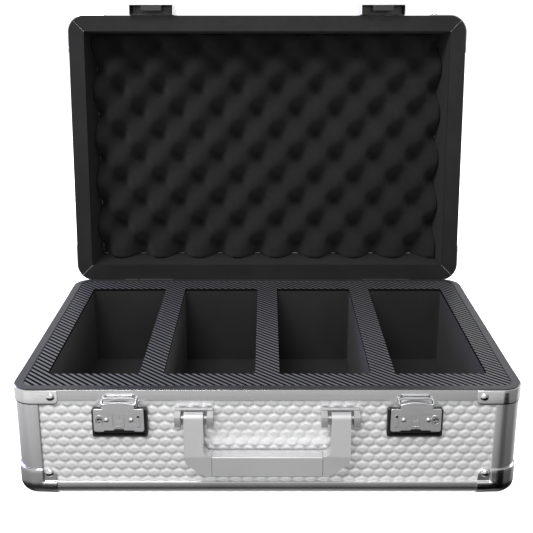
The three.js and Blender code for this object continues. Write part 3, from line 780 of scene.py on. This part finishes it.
def rim_guard(half, side_y, sy, side_x, sx):
    """The low guard of a rim corner: a band over the rail whose lower corners are rounded."""
    leg, height, tab_r, out = 43.8, 14.6, 3.5, 1.25
    rivet_in, rivet_down = 37.5, 6.6
    stations = corner_stations(sx, sy, leg, 18, [*tab_marks(tab_r, 4), 12])
    length = stations[-1][4]
    columns = []
    for *_, s, _ in stations:
        foot = height - tab_fall(tab_r, min(s, length - s))
        rows = [(0.5, 0.0), (-0.4, 0.0), (-0.95, 0.25), (-1.2, 0.8), (-out, 3), (-out, 7),
                (-out, foot - 1.5), (-1.15, foot - 0.4), (-0.85, foot)]
        columns.append([(inset, half_z(half, depth)) for inset, depth in rows])
    made = guard_skin(stations, columns, half.place)
    rivets = guard_rivets(half, sx, sy, rivet_in, half_z(half, rivet_down), out)
    name = f"{half.prefix}_rim_guard_{side_y}_{side_x}"
    piece(merged(name, made, *rivets), name, half.body, "guard")


def shell(half):
    rim_profile(half)
    end_profile(half)
    panels(half)
    for side_y, sy in (("front", -1), ("rear", 1)):
        for side_x, sx in (("left", -1), ("right", 1)):
            corner_post(half, side_y, sy, side_x, sx)
            ball_corner(half, side_y, sy, side_x, sx)
            rim_guard(half, side_y, sy, side_x, sx)


# ---- rim strips, insert and lid lining

def base_trim():
    """The soft strip on the base's rim, with eased edges and room for the hinge knuckles."""
    low, high = cad("base_rim_trim")
    z0, z1, ease = low.z, high.z, 0.35
    section = [(0.1, z0), (0, z0 + 0.15), (0, z1 - ease), (ease * 0.3, z1 - ease * 0.3), (ease, z1),
               (8.2, z1), (8.42, z1 - 0.08), (8.5, z1 - 0.3), (8.5, z0)]
    made = sweep(round_stations(), lambda bend: section)
    cut_hinge_notches(made, BASE_H - 0.5)
    piece(made, "base_rim_strip", "root", "trim")
    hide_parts("base_rim_trim")


def lid_band():
    """The flat strip on the lid's rim, in four lengths mitred at the corners."""
    low, high = closed_cad("lid_rim_band")
    stations = round_stations()
    count = len(stations) // 4
    middle = count // 2
    strips = []
    ease = 0.25
    section = [(0, low.z + ease), (ease, low.z), (LID_BAND_W - ease, low.z),
               (LID_BAND_W, low.z + ease), (LID_BAND_W, high.z), (0, high.z)]
    for side in range(4):
        first = side * count + middle
        run = [stations[(first + i) % len(stations)] for i in range(count + 1)]
        strips.append(bevelled(shortened(run, section), 0.12, 1, 60))
    made = merged("band", *strips)
    piece(made, "lid_rim_strip", "lid", "band")
    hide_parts("lid_rim_band")


def shortened(run, section):
    """One mitred length of strip, its two ends drawn back to leave a fine joint."""
    joint = 0.14
    made = sweep(run, lambda bend: section, closed=False)
    cuts = []
    for station, toward in ((run[0], run[1]), (run[-1], run[-2])):
        x, y, nx, ny, _, _ = station
        along = Vector((-ny, nx, 0))
        if along.dot(Vector((toward[0] - x, toward[1] - y, 0))) < 0:
            along.negate()
        cuts.append((Vector((x, y, 0)) + along * joint, along))
    bm = bmesh.new()
    bm.from_mesh(made.data)
    for point, along in cuts:
        cut = bmesh.ops.bisect_plane(bm, geom=[*bm.verts, *bm.edges, *bm.faces], plane_co=point * MM,
                                     plane_no=along, clear_inner=True)["geom_cut"]
        bmesh.ops.contextual_create(bm, geom=[item for item in cut if isinstance(item, bmesh.types.BMEdge)])
    bmesh.ops.recalc_face_normals(bm, faces=bm.faces)
    bmesh.ops.transform(bm, matrix=Matrix.Scale(MM, 4) @ OPEN @ Matrix.Scale(1 / MM, 4), verts=bm.verts)
    bm.to_mesh(made.data)
    bm.free()
    return made


SLOT_HALF_W, SLOT_HALF_L, SLOT_R = 44.35, 126.5, 3.0
SLOT_PITCH = 112.2
SLOT_X = [(i - 1.5) * SLOT_PITCH for i in range(4)]


def insert():
    """The woven deck plate with its four slots, and the foam tray under it."""
    low, high = cad("deck_plate")
    outline = rounded(high.x, high.y, CORNER_R - (HALF_W - high.x))
    slots = [rounded(SLOT_HALF_W, SLOT_HALF_L, SLOT_R, x) for x in SLOT_X]
    made = plate([outline, *slots], low.z, high.z, bevel=0.35, segments=2)
    cover(made, "deck_plate", "weave", "root", "deck")

    low, high = cad("foam_tray")
    block = slab((high.x, high.y, 13.8), low.z, high.z, bevel=0.5)
    floor = frame["record"]["physics"]["openings"][0]["box_m"][0][2] / MM - 0.7
    grow = 0.4
    for x in SLOT_X:
        pocket = slab((SLOT_HALF_W + grow, SLOT_HALF_L + grow, SLOT_R + grow, x), floor, high.z + 5,
                       bevel=1.0, segments=3)
        combined(block, pocket)
    cover(block, "foam_tray", "insert", "root", "foam")


FOAM_PITCH_X = 51
FOAM_PITCH_Y = 58
FOAM_SWING = 19.5
FOAM_GAP = 0.4
FOAM_HOLLOW = 1.3
FOAM_FIRST_ROW = 31


def egg_crate_depth(x, y):
    """How far the foam's face lies behind its hill tops: broad hills and narrower hollows."""
    wave_x = cos(2 * pi * (x + 13) / FOAM_PITCH_X)
    wave_y = cos(2 * pi * (min(y, HALF_D - FOAM_FIRST_ROW) - (HALF_D - FOAM_FIRST_ROW)) / FOAM_PITCH_Y)
    wave = wave_x * wave_y
    shaped = 2 * ((1 + wave) / 2) ** FOAM_HOLLOW - 1
    wander = noise.noise((x * 0.016, y * 0.016, 3.1)) + 0.4 * noise.noise((x * 0.06, y * 0.06, 7.7))
    return FOAM_SWING * (1 + shaped) + 0.9 + 0.8 * wander


def lid_foam():
    """The egg-crate sheet: a fine grid of hills and hollows with rounded edges and a flat back."""
    low, high = closed_cad("lid_foam")
    columns, rows = 176, 116
    bm = bmesh.new()
    grid = []
    for i in range(columns + 1):
        x = (high.x - FOAM_GAP) * (2 * i / columns - 1)
        line = []
        for j in range(rows + 1):
            y = (high.y - FOAM_GAP) * (2 * j / rows - 1)
            edge = min(high.x - abs(x), high.y - abs(y)) - FOAM_GAP
            round_over = 1.8 * (1 - min(edge / 4, 1)) ** 2
            line.append(bm.verts.new((x, y, low.z + egg_crate_depth(x, y) + round_over)))
        grid.append(line)
    for i in range(columns):
        for j in range(rows):
            bm.faces.new((grid[i][j], grid[i][j + 1], grid[i + 1][j + 1], grid[i + 1][j]))
    backed(bm, high.z, FOAM_GAP - 0.1, high)
    made = to_object("foam", bm, OPEN)
    cover(made, "lid_foam", "egg_crate", "lid", "lid_foam", radians(70))


def lid_lining():
    """The foam wall round the inside of the lid, from the rim down to the lid's top."""
    low, high = closed_cad("lid_lining")
    outer, inner, ease = HALF_W - high.x, LID_BAND_W, 1.6
    section = [(outer, low.z), (inner - ease, low.z), (inner - ease * 0.3, low.z + ease * 0.3),
               (inner, low.z + ease), (inner, high.z), (outer, high.z)]
    made = sweep(round_stations(), lambda bend: section, OPEN)
    cover(made, "lid_lining", "wall", "lid", "lining")


# ---- latches

def fitting(box):
    """A front fitting's box: its corners, half its width and how far its front stands proud."""
    low, high = box
    return low, high, (high.x - low.x) / 2, -HALF_D - low.y


def centred(box):
    """The place of a fitting that is drawn about x = 0."""
    low, high = box
    return at((low.x + high.x) / 2, 0, 0)


def at_latch(side, place):
    return centred(cad(f"latch_tray_{side}")) @ place


def latch_tray(side):
    """The black moulded tray that the lever lies in."""
    name = f"latch_tray_{side}"
    low, high, half_w, front = fitting(cad(name))
    half_h, middle = (high.z - low.z) / 2, (low.z + high.z) / 2
    place = at_latch(side, FRONT)
    made = slab((half_w, half_h, 2.2, 0, middle), -1.5, front, place, 0.5, 3)
    pocket = slab((half_w - 2.2, half_h - 2.2, 1.2, 0, middle), -0.3, front + 2, place, 0.4)
    slot = slab((12.6, 3, 0.5, 0, high.z), -0.3, front + 2, place, 0.2)
    combined(combined(made, pocket), slot)
    cover(made, name, "moulding", "root", "tray")


def latch_bracket(side):
    """The bracket over the lever's neck: a back plate, two ears, a lip between them and the pivot pin."""
    name = f"latch_bracket_{side}"
    low, high, half_w, front = fitting(cad(name))
    back = 0.3
    parts = [slab((half_w, (high.z - low.z) / 2, 0.6, 0, (low.z + high.z) / 2), back, back + 0.8,
                   at_latch(side, FRONT), 0.2)]
    ear = [(back, low.z), (4.9, low.z), (5.0, 95.0), (front - 0.5, 95.4), (front, 96.2),
           (front, high.z - 1.8), (front - 1.8, high.z), (back, high.z)]
    for sx in (-1, 1):
        ends = sorted((sx * half_w, sx * (half_w - 1.2)))
        parts.append(plate([ear], *ends, at_latch(side, ACROSS), 0.25))
    pin = at(0, -HALF_D - 5.9, 98)
    parts.append(rod(1.0, 0.3 - half_w, half_w - 0.3, at_latch(side, pin), 0.2))
    lip = [(back, high.z - 0.8), (2.4, high.z - 0.8), (2.4, high.z), (back, high.z)]
    parts.append(plate([lip], 1.3 - half_w, half_w - 1.3, at_latch(side, ACROSS), 0.2))
    cover(merged(name, *parts), name, "pressing", "root", "steel")


PLUG_X, PLUG_Z = 18, 83


def latch_lever(side, sx):
    """The lever: a grooved plate with a stepped foot and an arched neck, its rivets and the plug's hole."""
    name = f"latch_lever_{side}"
    place = at_latch(side, FRONT)
    low, shoulder, front, back = 71.4, 94.4, 8.6, 5.6
    half_w, neck = 23.5, 14.9
    right = [(4.3, low + 2.6), (5.2, low + 1.3), (13.7, low + 1.3), (14.6, low),
             *arc(half_w - 2, low + 2, 2, -90, 0, 5),
             *arc(half_w - 1.5, shoulder - 1.5, 1.5, 0, 90, 4), (neck, shoulder + 0.05), (neck, 98.0),
             *[(neck - 0.3 - i * neck / 9, 98.5 + 2.7 * (1 - (1 - i / 8) ** 2)) for i in range(8)]]
    plate_ = plate([mirrored(right)], back + 1.6, front, place, 0.3, 3)
    combined(plate_, slab((3.4, 3.4, 3.39, sx * PLUG_X, PLUG_Z), back - 1, front + 1, place, 0.1))
    for x, half_h in ((-5.3, 7.6), (5.3, 7.6), (-1.1, 3.2), (1.1, 3.2)):
        groove = slab((0.4, half_h, 0.38, x, 88.6 - half_h, 4), front - 0.9, front + 1, place, 0.02, 1)
        combined(plate_, groove)
    outer = mirrored([(half_w - 0.5, low + 1.5), (half_w - 0.5, shoulder - 0.8)])
    inner = mirrored([(half_w - 2, low - 3), (half_w - 2, shoulder - 3)])
    body = plate([outer], back, back + 1.7, place, 0.2)
    combined(body, plate([inner], back - 1, back + 3, place, 0.1))
    parts = [plate_, body]
    for rivet in (-11.5, 11.5):
        parts.append(dome(2.4, 1.25, place @ at(rivet, 83.5, front)))
    for i in range(5):
        parts.append(slab((0.32, 1.1, 0.3, (i - 2) * 1.25, low + 4.6, 4), front, front + 0.75, place, 0.15))
    slot_x = -sx * 18.2
    parts.append(slab((1.9, 6.3, 1.8, slot_x, 82), front - 0.3, front + 0.3, place, 0.28, 3))
    surround = [rounded(4.4, 5.2, 4.3, sx * PLUG_X, PLUG_Z + 0.3),
                rounded(3.3, 3.3, 3.29, sx * PLUG_X, PLUG_Z)]
    parts.append(plate(surround, front - 0.3, front + 0.3, place, 0.25, 3))
    cover(merged(name, *parts), name, "plate", name, "steel")

    mark = slab((1.3, 1.3, 1.29, slot_x, 87.0), front - 0.4, front + 0.34, place, 0.02, 1)
    piece(mark, f"{name}_indicator", name, "tray")


def latch_plug(side, sx):
    """The key plug with its bent keyway, and a black disc down in the barrel as painted shade of the keyway's
    depth.
    """
    name = f"latch_key_plug_{side}"
    place = at_latch(side, FRONT) @ at(sx * PLUG_X, PLUG_Z, 0)
    made = lathe([(2.9, 5), (3.05, 5.2), (3.05, 8.5), (2.9, 8.75), (2.6, 8.8)], place, 36)
    bow = [(-2.5, 0.1), (-2.0, 1.6), (-0.4, 2.6), (1.5, 2.2), (2.6, 0.6),
           (1.9, -0.4), (0.9, 0.7), (-0.2, 0.6), (-1.5, -0.6)]
    for outline in (bow, rounded(0.85, 0.85, 0.84, -0.1, -1.9)):
        combined(made, plate([outline], 7.2, 10, place, 0.05))
    cover(made, name, "barrel", name, "steel")
    # Painted shade: a black disc down in the barrel stands in for the dark depth of the keyway
    floor = slab((2.75, 2.75, 2.74), 6.6, 7.35, place, 0.05)
    piece(floor, f"{name}_keyway_shade", name, "tray")


def latch_claw(side):
    """The claw that hooks the lid's catch: a strip with a rolled lip and an apron over the lever's neck."""
    name = f"latch_claw_{side}"
    low, high, half_w, front = fitting(cad(name))
    back = -HALF_D - high.y
    hook = [(back, low.z), (back + 0.8, low.z), (back + 0.8, high.z - 1.6), (back + 1.4, high.z - 0.9),
            (front, high.z - 0.8), (front, high.z), (back + 0.6, high.z), (back, high.z - 0.6)]
    made = plate([hook], -half_w, half_w, at_latch(side, ACROSS), 0.15)
    apron = slab((14.4, 2.3, 0.4, 0, high.z - 2.4), front - 0.75, front, at_latch(side, FRONT), 0.15)
    cover(merged(name, made, apron), name, "hook", name, "steel")


def lid_catch(side):
    """The lid's catch: a folded steel housing, open below, with a tongue across its mouth. The tongue and the
    sheets inside the mouth are black, as painted shade of the deep mouth.
    """
    name = f"lid_catch_{side}"
    box = closed_cad(name)
    low, high, half_w, front = fitting(box)
    middle = centred(box)
    across, facing = OPEN @ middle @ ACROSS, OPEN @ middle @ FRONT
    back = 0.3
    side_view = [(back, low.z), (front - 0.4, low.z), (front, low.z + 0.8), (front, 126.5),
                 (front - 1.2, 129.5), (back + 2.4, high.z - 1), (back + 1.6, high.z), (back, high.z)]
    made = plate([side_view], -half_w, half_w, across, 0.7, 3)
    pocket = slab((half_w - 1.3, 14, 1.5, 0, low.z + 9), back + 1.2, front - 1.2, facing, 0.5)
    behind = slab((half_w - 1.3, 10, 1, 0, LID_RIM_Z - 10.2), back - 3, back + 3, facing, 0.1)
    combined(combined(made, pocket), behind)
    ridge = slab((half_w - 6, 1.1, 1.0, 0, 121), front - 0.3, front + 0.45, facing, 0.3, 3)
    stud = [dome(2.3, 1.0, facing @ at(x, 116, front)) for x in (-15, 15)]
    cover(merged(name, made, ridge, *stud), name, "housing", "lid", "steel")

    # Painted shade: the tongue, a black shell inside the mouth and two black back plates stand in for the shade
    # deep in the catch's mouth
    tongue = slab((12.5, 0.4, 0.3, 0, 102.1), 4.9, front - 1.3, facing, 0.12)
    shade_shell = slab((half_w - 1.4, 11.3, 1.2, 0, 113.2), 2.3, front - 1.2, facing, 0.1)
    room = slab((half_w - 1.9, 12.3, 0.8, 0, 111.6), 1.5, front - 1.7, facing, 0.1)
    shade_backs = [slab((half_w - 1.9, 5.9, 0.8, 0, 107.9), 0.35, 0.9, facing, 0.1),
             slab((half_w - 1.9, 4.6, 0.8, 0, 119), 1.55, 2.2, facing, 0.1)]
    mouth_shade = merged("mouth_shade", combined(shade_shell, room), tongue, *shade_backs)
    piece(mouth_shade, f"{name}_buffer", "lid", "tray")


# ---- hinges

LEAF_HALF_W, LEAF_H = 30, 28
KNUCKLE_R = 1.9


def hinge_leaf(name, body, down, place, *knuckles):
    """A leaf that reaches up or down from the axis, its knuckles and its three rivets."""
    span = sorted((HINGE.z + down * LEAF_H, HINGE.z + down * KNUCKLE_R + down * 0.3))
    leaf = slab((LEAF_HALF_W, (span[1] - span[0]) / 2, 3, 0, sum(span) / 2), 0.3, 1.3, place, 0.2)
    rivets = [dome(2.6, 1.1, place @ at(x, HINGE.z + down * 20, 1.3)) for x in (-22, 0, 22)]
    cover(merged(name, leaf, *knuckles, *rivets), name, "pressing", body, "steel")


def hinge(side):
    """Both leaves with their knuckles, the tabs that stop the lid, and the pin."""
    middle = centred(cad(f"hinge_pin_{side}"))
    axis = middle @ at(0, HINGE.y, HINGE.z)
    rear = middle @ Matrix(((-1, 0, 0, 0), (0, 0, 1, HALF_D), (0, 1, 0, 0), (0, 0, 0, 1)))
    knuckles = []
    for sx in (-1, 1):
        ends = sorted((sx * 11.8, sx * LEAF_HALF_W))
        wide, x = (ends[1] - ends[0]) / 2, -sum(ends) / 2
        knuckles += [rod(KNUCKLE_R, *ends, axis),
                     slab((wide, 2.2, 0.3, x, HINGE.z - 2.2), 0.3, 1.3, rear, 0.1),
                     slab((wide - 3, 0.5, 0.45, x, HINGE.z - 3), 0.3, 8.3, rear, 0.15)]
    hinge_leaf(f"hinge_base_leaf_{side}", "root", -1, rear, *knuckles)
    hinge_leaf(f"hinge_lid_leaf_{side}", "lid", 1, OPEN @ rear,
               slab((11.5, 2.2, 0.3, 0, HINGE.z + 2.2), 0.3, 1.3, OPEN @ rear, 0.1),
               rod(KNUCKLE_R, -11.5, 11.5, axis))
    name = f"hinge_pin_{side}"
    heads = [dome(1.5, 0.5, axis @ at(way * LEAF_HALF_W, 0, 0) @ Matrix.Rotation(way * pi / 2, 4, "Y"))
             for way in (1, -1)]
    pin = merged(name, rod(0.95, -LEAF_HALF_W, LEAF_HALF_W, axis), *heads)
    cover(pin, name, "rod", "root", "steel")


# ---- handle

def handle_bracket(side):
    """A moulded bracket: two sloped ears, a back plate, a roof bar and the pin."""
    name = f"handle_bracket_{side}"
    low, high, half_w, front = fitting(cad(name))
    middle = centred(cad(name))
    facing, across = middle @ FRONT, middle @ ACROSS
    ear = [(-1.5, low.z), (front - 3, low.z + 1.5), (front, high.z - 11.5), (front, high.z - 5),
           (-1.5, high.z)]
    parts = [slab((half_w, (high.z - low.z) / 2, 1, 0, (low.z + high.z) / 2), -1.5, -0.3, facing, 0.3),
             slab((half_w - 0.5, 0.7, 0.3, 0, high.z - 0.7), -1.5, 3, facing, 0.2)]
    for sx in (-1, 1):
        parts.append(plate([ear], *sorted((sx * half_w, sx * (half_w - 6))), across, 0.5, 3))
    parts.append(rod(1.8, 3 - half_w, half_w - 3, middle @ at(0, -HALF_D - PIVOT_P, PIVOT_Z)))
    cover(merged(name, *parts), name, "moulding", "root", "handle")


ARM_OUTER, ARM_INNER, ARM_SEAM = 78.0, 59.7, 52.15
GRIP_LOW, GRIP_TOP, GRIP_BACK, GRIP_FRONT = 27.5, 49.0, 1.8, 16.0
PIVOT_P, PIVOT_Z, BOSS_R = 6.0, 84.8, 5.5


def arm_depth(z):
    """Back and front of the arm at a height: full depth at the grip, narrowing to the boss at its pin."""
    if z >= PIVOT_Z:
        half = sqrt(max(BOSS_R ** 2 - (z - PIVOT_Z) ** 2, 0))
        return PIVOT_P - half, PIVOT_P + half
    t = min(max((z - GRIP_TOP) / (PIVOT_Z - GRIP_TOP), 0), 1)
    return (GRIP_BACK + (PIVOT_P - BOSS_R - GRIP_BACK) * t, GRIP_FRONT + (PIVOT_P + BOSS_R - GRIP_FRONT) * t)


def handle_arm(side, sx):
    """An arm and its corner: chamfered inside, broadly rounded outside, and narrowing to its pin."""
    name = f"handle_arm_{side}"
    top = PIVOT_Z + BOSS_R
    outer = [(ARM_OUTER, top), (ARM_OUTER, 48), (77.5, 44.3), (75.4, 40.8), (71.9, 37.6), (66.6, 33.6),
             (61.5, 30.0), (57.5, 28.1), (54.2, GRIP_LOW), (ARM_SEAM, GRIP_LOW)]
    inner = [(ARM_SEAM, GRIP_TOP), (ARM_INNER - 4.5, GRIP_TOP), (ARM_INNER - 1.6, GRIP_TOP + 2.2),
             (ARM_INNER, GRIP_TOP + 5.2), (ARM_INNER, top)]
    outline = [(sx * x, z) for x, z in outer + inner]
    edge = 0.11
    made = plate([outline], 0, 1, Matrix(), edge, 4)
    bm = bmesh.new()
    bm.from_mesh(made.data)
    bpy.data.objects.remove(made)
    bmesh.ops.transform(bm, matrix=Matrix.Scale(1 / MM, 4), verts=bm.verts)
    cuts = [GRIP_TOP + (PIVOT_Z - GRIP_TOP) * i / 6 for i in range(7)]
    cuts += [PIVOT_Z + BOSS_R * sin(pi / 2 * i / 9) for i in range(1, 9)]
    for z in cuts:
        bmesh.ops.bisect_plane(bm, geom=[*bm.verts, *bm.edges, *bm.faces], dist=1e-5,
                               plane_co=(0, z, 0), plane_no=(0, 1, 0))
    for vertex in bm.verts:
        back, front = arm_depth(vertex.co.y)
        vertex.co.z = back + (front - back) * vertex.co.z
    made = to_object(name, bm, FRONT)
    bore = rod(2.1, -100, 100, at(0, -HALF_D - PIVOT_P, PIVOT_Z), 0.1, 32)
    combined(made, bore)
    cover(made, name, "moulding", "handle", "handle", radians(50))


def handle_grip():
    """The grip bar between the seams, rounded along its edges."""
    section = rounded((GRIP_FRONT - GRIP_BACK) / 2, (GRIP_TOP - GRIP_LOW) / 2, 1.4,
                      (GRIP_FRONT + GRIP_BACK) / 2, (GRIP_TOP + GRIP_LOW) / 2)
    made = plate([section], 0.2 - ARM_SEAM, ARM_SEAM - 0.2, ACROSS, 0.25)
    cover(made, "handle_grip", "moulding", "handle", "handle")


# ---- studio

def area_light(name, location, target, size, energy, colour=(1, 1, 1)):
    light = bpy.data.lights.new(name, "AREA")
    light.shape = "RECTANGLE"
    light.size, light.size_y = size
    light.energy = energy
    light.color = colour
    holder = linked(name, light)
    holder.location = location
    holder.rotation_euler = (Vector(target) - Vector(location)).to_track_quat("-Z", "Y").to_euler()
    holder.visible_camera = False


def pale_floor():
    mesh = bpy.data.meshes.new("floor")
    reach = 40
    corners = [(x * reach, y * reach, FLOOR_Z) for x, y in ((-1, -1), (1, -1), (1, 1), (-1, 1))]
    mesh.from_pydata(corners, [], [(0, 1, 2, 3)])
    floor = linked("floor", mesh)
    pale = bpy.data.materials.new("floor")
    pale.use_nodes = True
    sockets = {"Base Color": (0.9, 0.9, 0.9, 1), "Roughness": 1.0, "Specular IOR Level": 0.0,
               "Emission Color": (1, 1, 1, 1), "Emission Strength": 0.9}
    for socket, value in sockets.items():
        pale.node_tree.nodes["Principled BSDF"].inputs[socket].default_value = value
    mesh.materials.append(pale)
    floor.visible_glossy = False
    floor.visible_diffuse = False


# Grey of the surround at each height of a direction, from straight down to straight up
SKY = ((-1.0, 0.4), (-0.96, 0.1), (-0.84, 0.03), (-0.68, 0.02), (-0.6, 0.02), (-0.53, 0.03), (-0.47, 0.36),
       (-0.42, 0.78), (-0.1, 0.8), (0.3, 0.7), (1.0, 0.6))
# Stretches of it that are darker or paler: direction, cosine at the edge and at the core, factor at the core
WALLS = (((0.85, -0.45, -0.3), 0.6, 0.86, 0.3), ((0.42, -0.62, -0.66), 0.925, 0.957, 0.08),
         ((-0.5, -0.7, -0.52), 0.9, 0.97, 1.15), ((0, 0.8, -0.6), 0.75, 0.98, 3))


def studio_world():
    """A soft surround, pale at eye level and above and dark below it, with darker and paler stretches."""
    world = bpy.data.worlds.new("studio")
    bpy.context.scene.world = world
    made = Nodes(world)
    direction = made.node("ShaderNodeTexCoord").outputs["Generated"]
    parts = made.node("ShaderNodeSeparateXYZ")
    made.link(direction, parts.inputs[0])
    ramp = made.node("ShaderNodeValToRGB")
    stops = ramp.color_ramp.elements
    while len(stops) < len(SKY):
        stops.new(0.5)
    # Moving a stop can reorder them, so every stop is in place before any is coloured
    for stop, (height, _) in zip(stops, SKY):
        stop.position = (height + 1) / 2
    for stop, (_, grey) in zip(stops, SKY):
        stop.color = (grey, grey, grey, 1)
    made.link(made.scaled(parts.outputs["Z"], -1, 1, 0, 1), ramp.inputs["Fac"])
    colour = ramp.outputs["Color"]
    for toward, edge, core, factor in WALLS:
        dot = made.node("ShaderNodeVectorMath", operation="DOT_PRODUCT")
        dot.inputs[1].default_value = Vector(toward).normalized()
        made.link(direction, dot.inputs[0])
        shade = made.scaled(dot.outputs["Value"], edge, core, 1, factor, interpolation_type="SMOOTHSTEP")
        mix = made.node("ShaderNodeVectorMath", operation="SCALE")
        made.link(colour, mix.inputs[0])
        made.link(shade, mix.inputs["Scale"])
        colour = mix.outputs["Vector"]
    background = made.tree.nodes["Background"]
    made.link(colour, background.inputs["Color"])
    background.inputs["Strength"].default_value = 1.05


def studio():
    pale_floor()
    studio_world()
    area_light("key", (-0.6, -1.5, 1.9), (0, 0, 0.1), (1.0, 0.8), 35)
    area_light("front", (0, -2.6, 0.75), (0, 0, 0.15), (1.6, 0.9), 10)
    area_light("rear_top", (0.1, 1.1, 2.1), (0, 0, 0.1), (1.2, 0.7), 15)
    area_light("left_rear", (-1.7, 0.75, 0.6), (-0.2, -0.1, 0.1), (1.5, 1.1), 60, (0.5, 0.5, 1.0))
    area_light("right_rear", (1.8, 0.75, 0.6), (0.2, -0.1, 0.1), (1.3, 1.0), 28)


def camera():
    """A little above the open lid's top edge, 0.8 m in front of the case, looking slightly down."""
    lens = bpy.data.cameras.new("camera")
    lens.sensor_width = 36
    lens.lens = 62.04
    lens.clip_start, lens.clip_end = 0.01, 100
    holder = linked("camera", lens)
    holder.location = Vector((-0.8, -942.9, 477.7)) * MM
    holder.rotation_euler = (radians(90 - 17.56), 0, 0)
    bpy.context.scene.camera = holder


# ---- the case

camera()
studio()
shell(BASE_HALF)
shell(LID_HALF)
base_trim()
lid_band()
insert()
lid_foam()
lid_lining()
for side, sx in (("left", -1), ("right", 1)):
    latch_tray(side)
    latch_bracket(side)
    latch_lever(side, sx)
    latch_plug(side, sx)
    latch_claw(side)
    lid_catch(side)
    hinge(side)
    handle_bracket(side)
    handle_arm(side, sx)
handle_grip()
bpy.context.scene.view_settings.view_transform = "Standard"
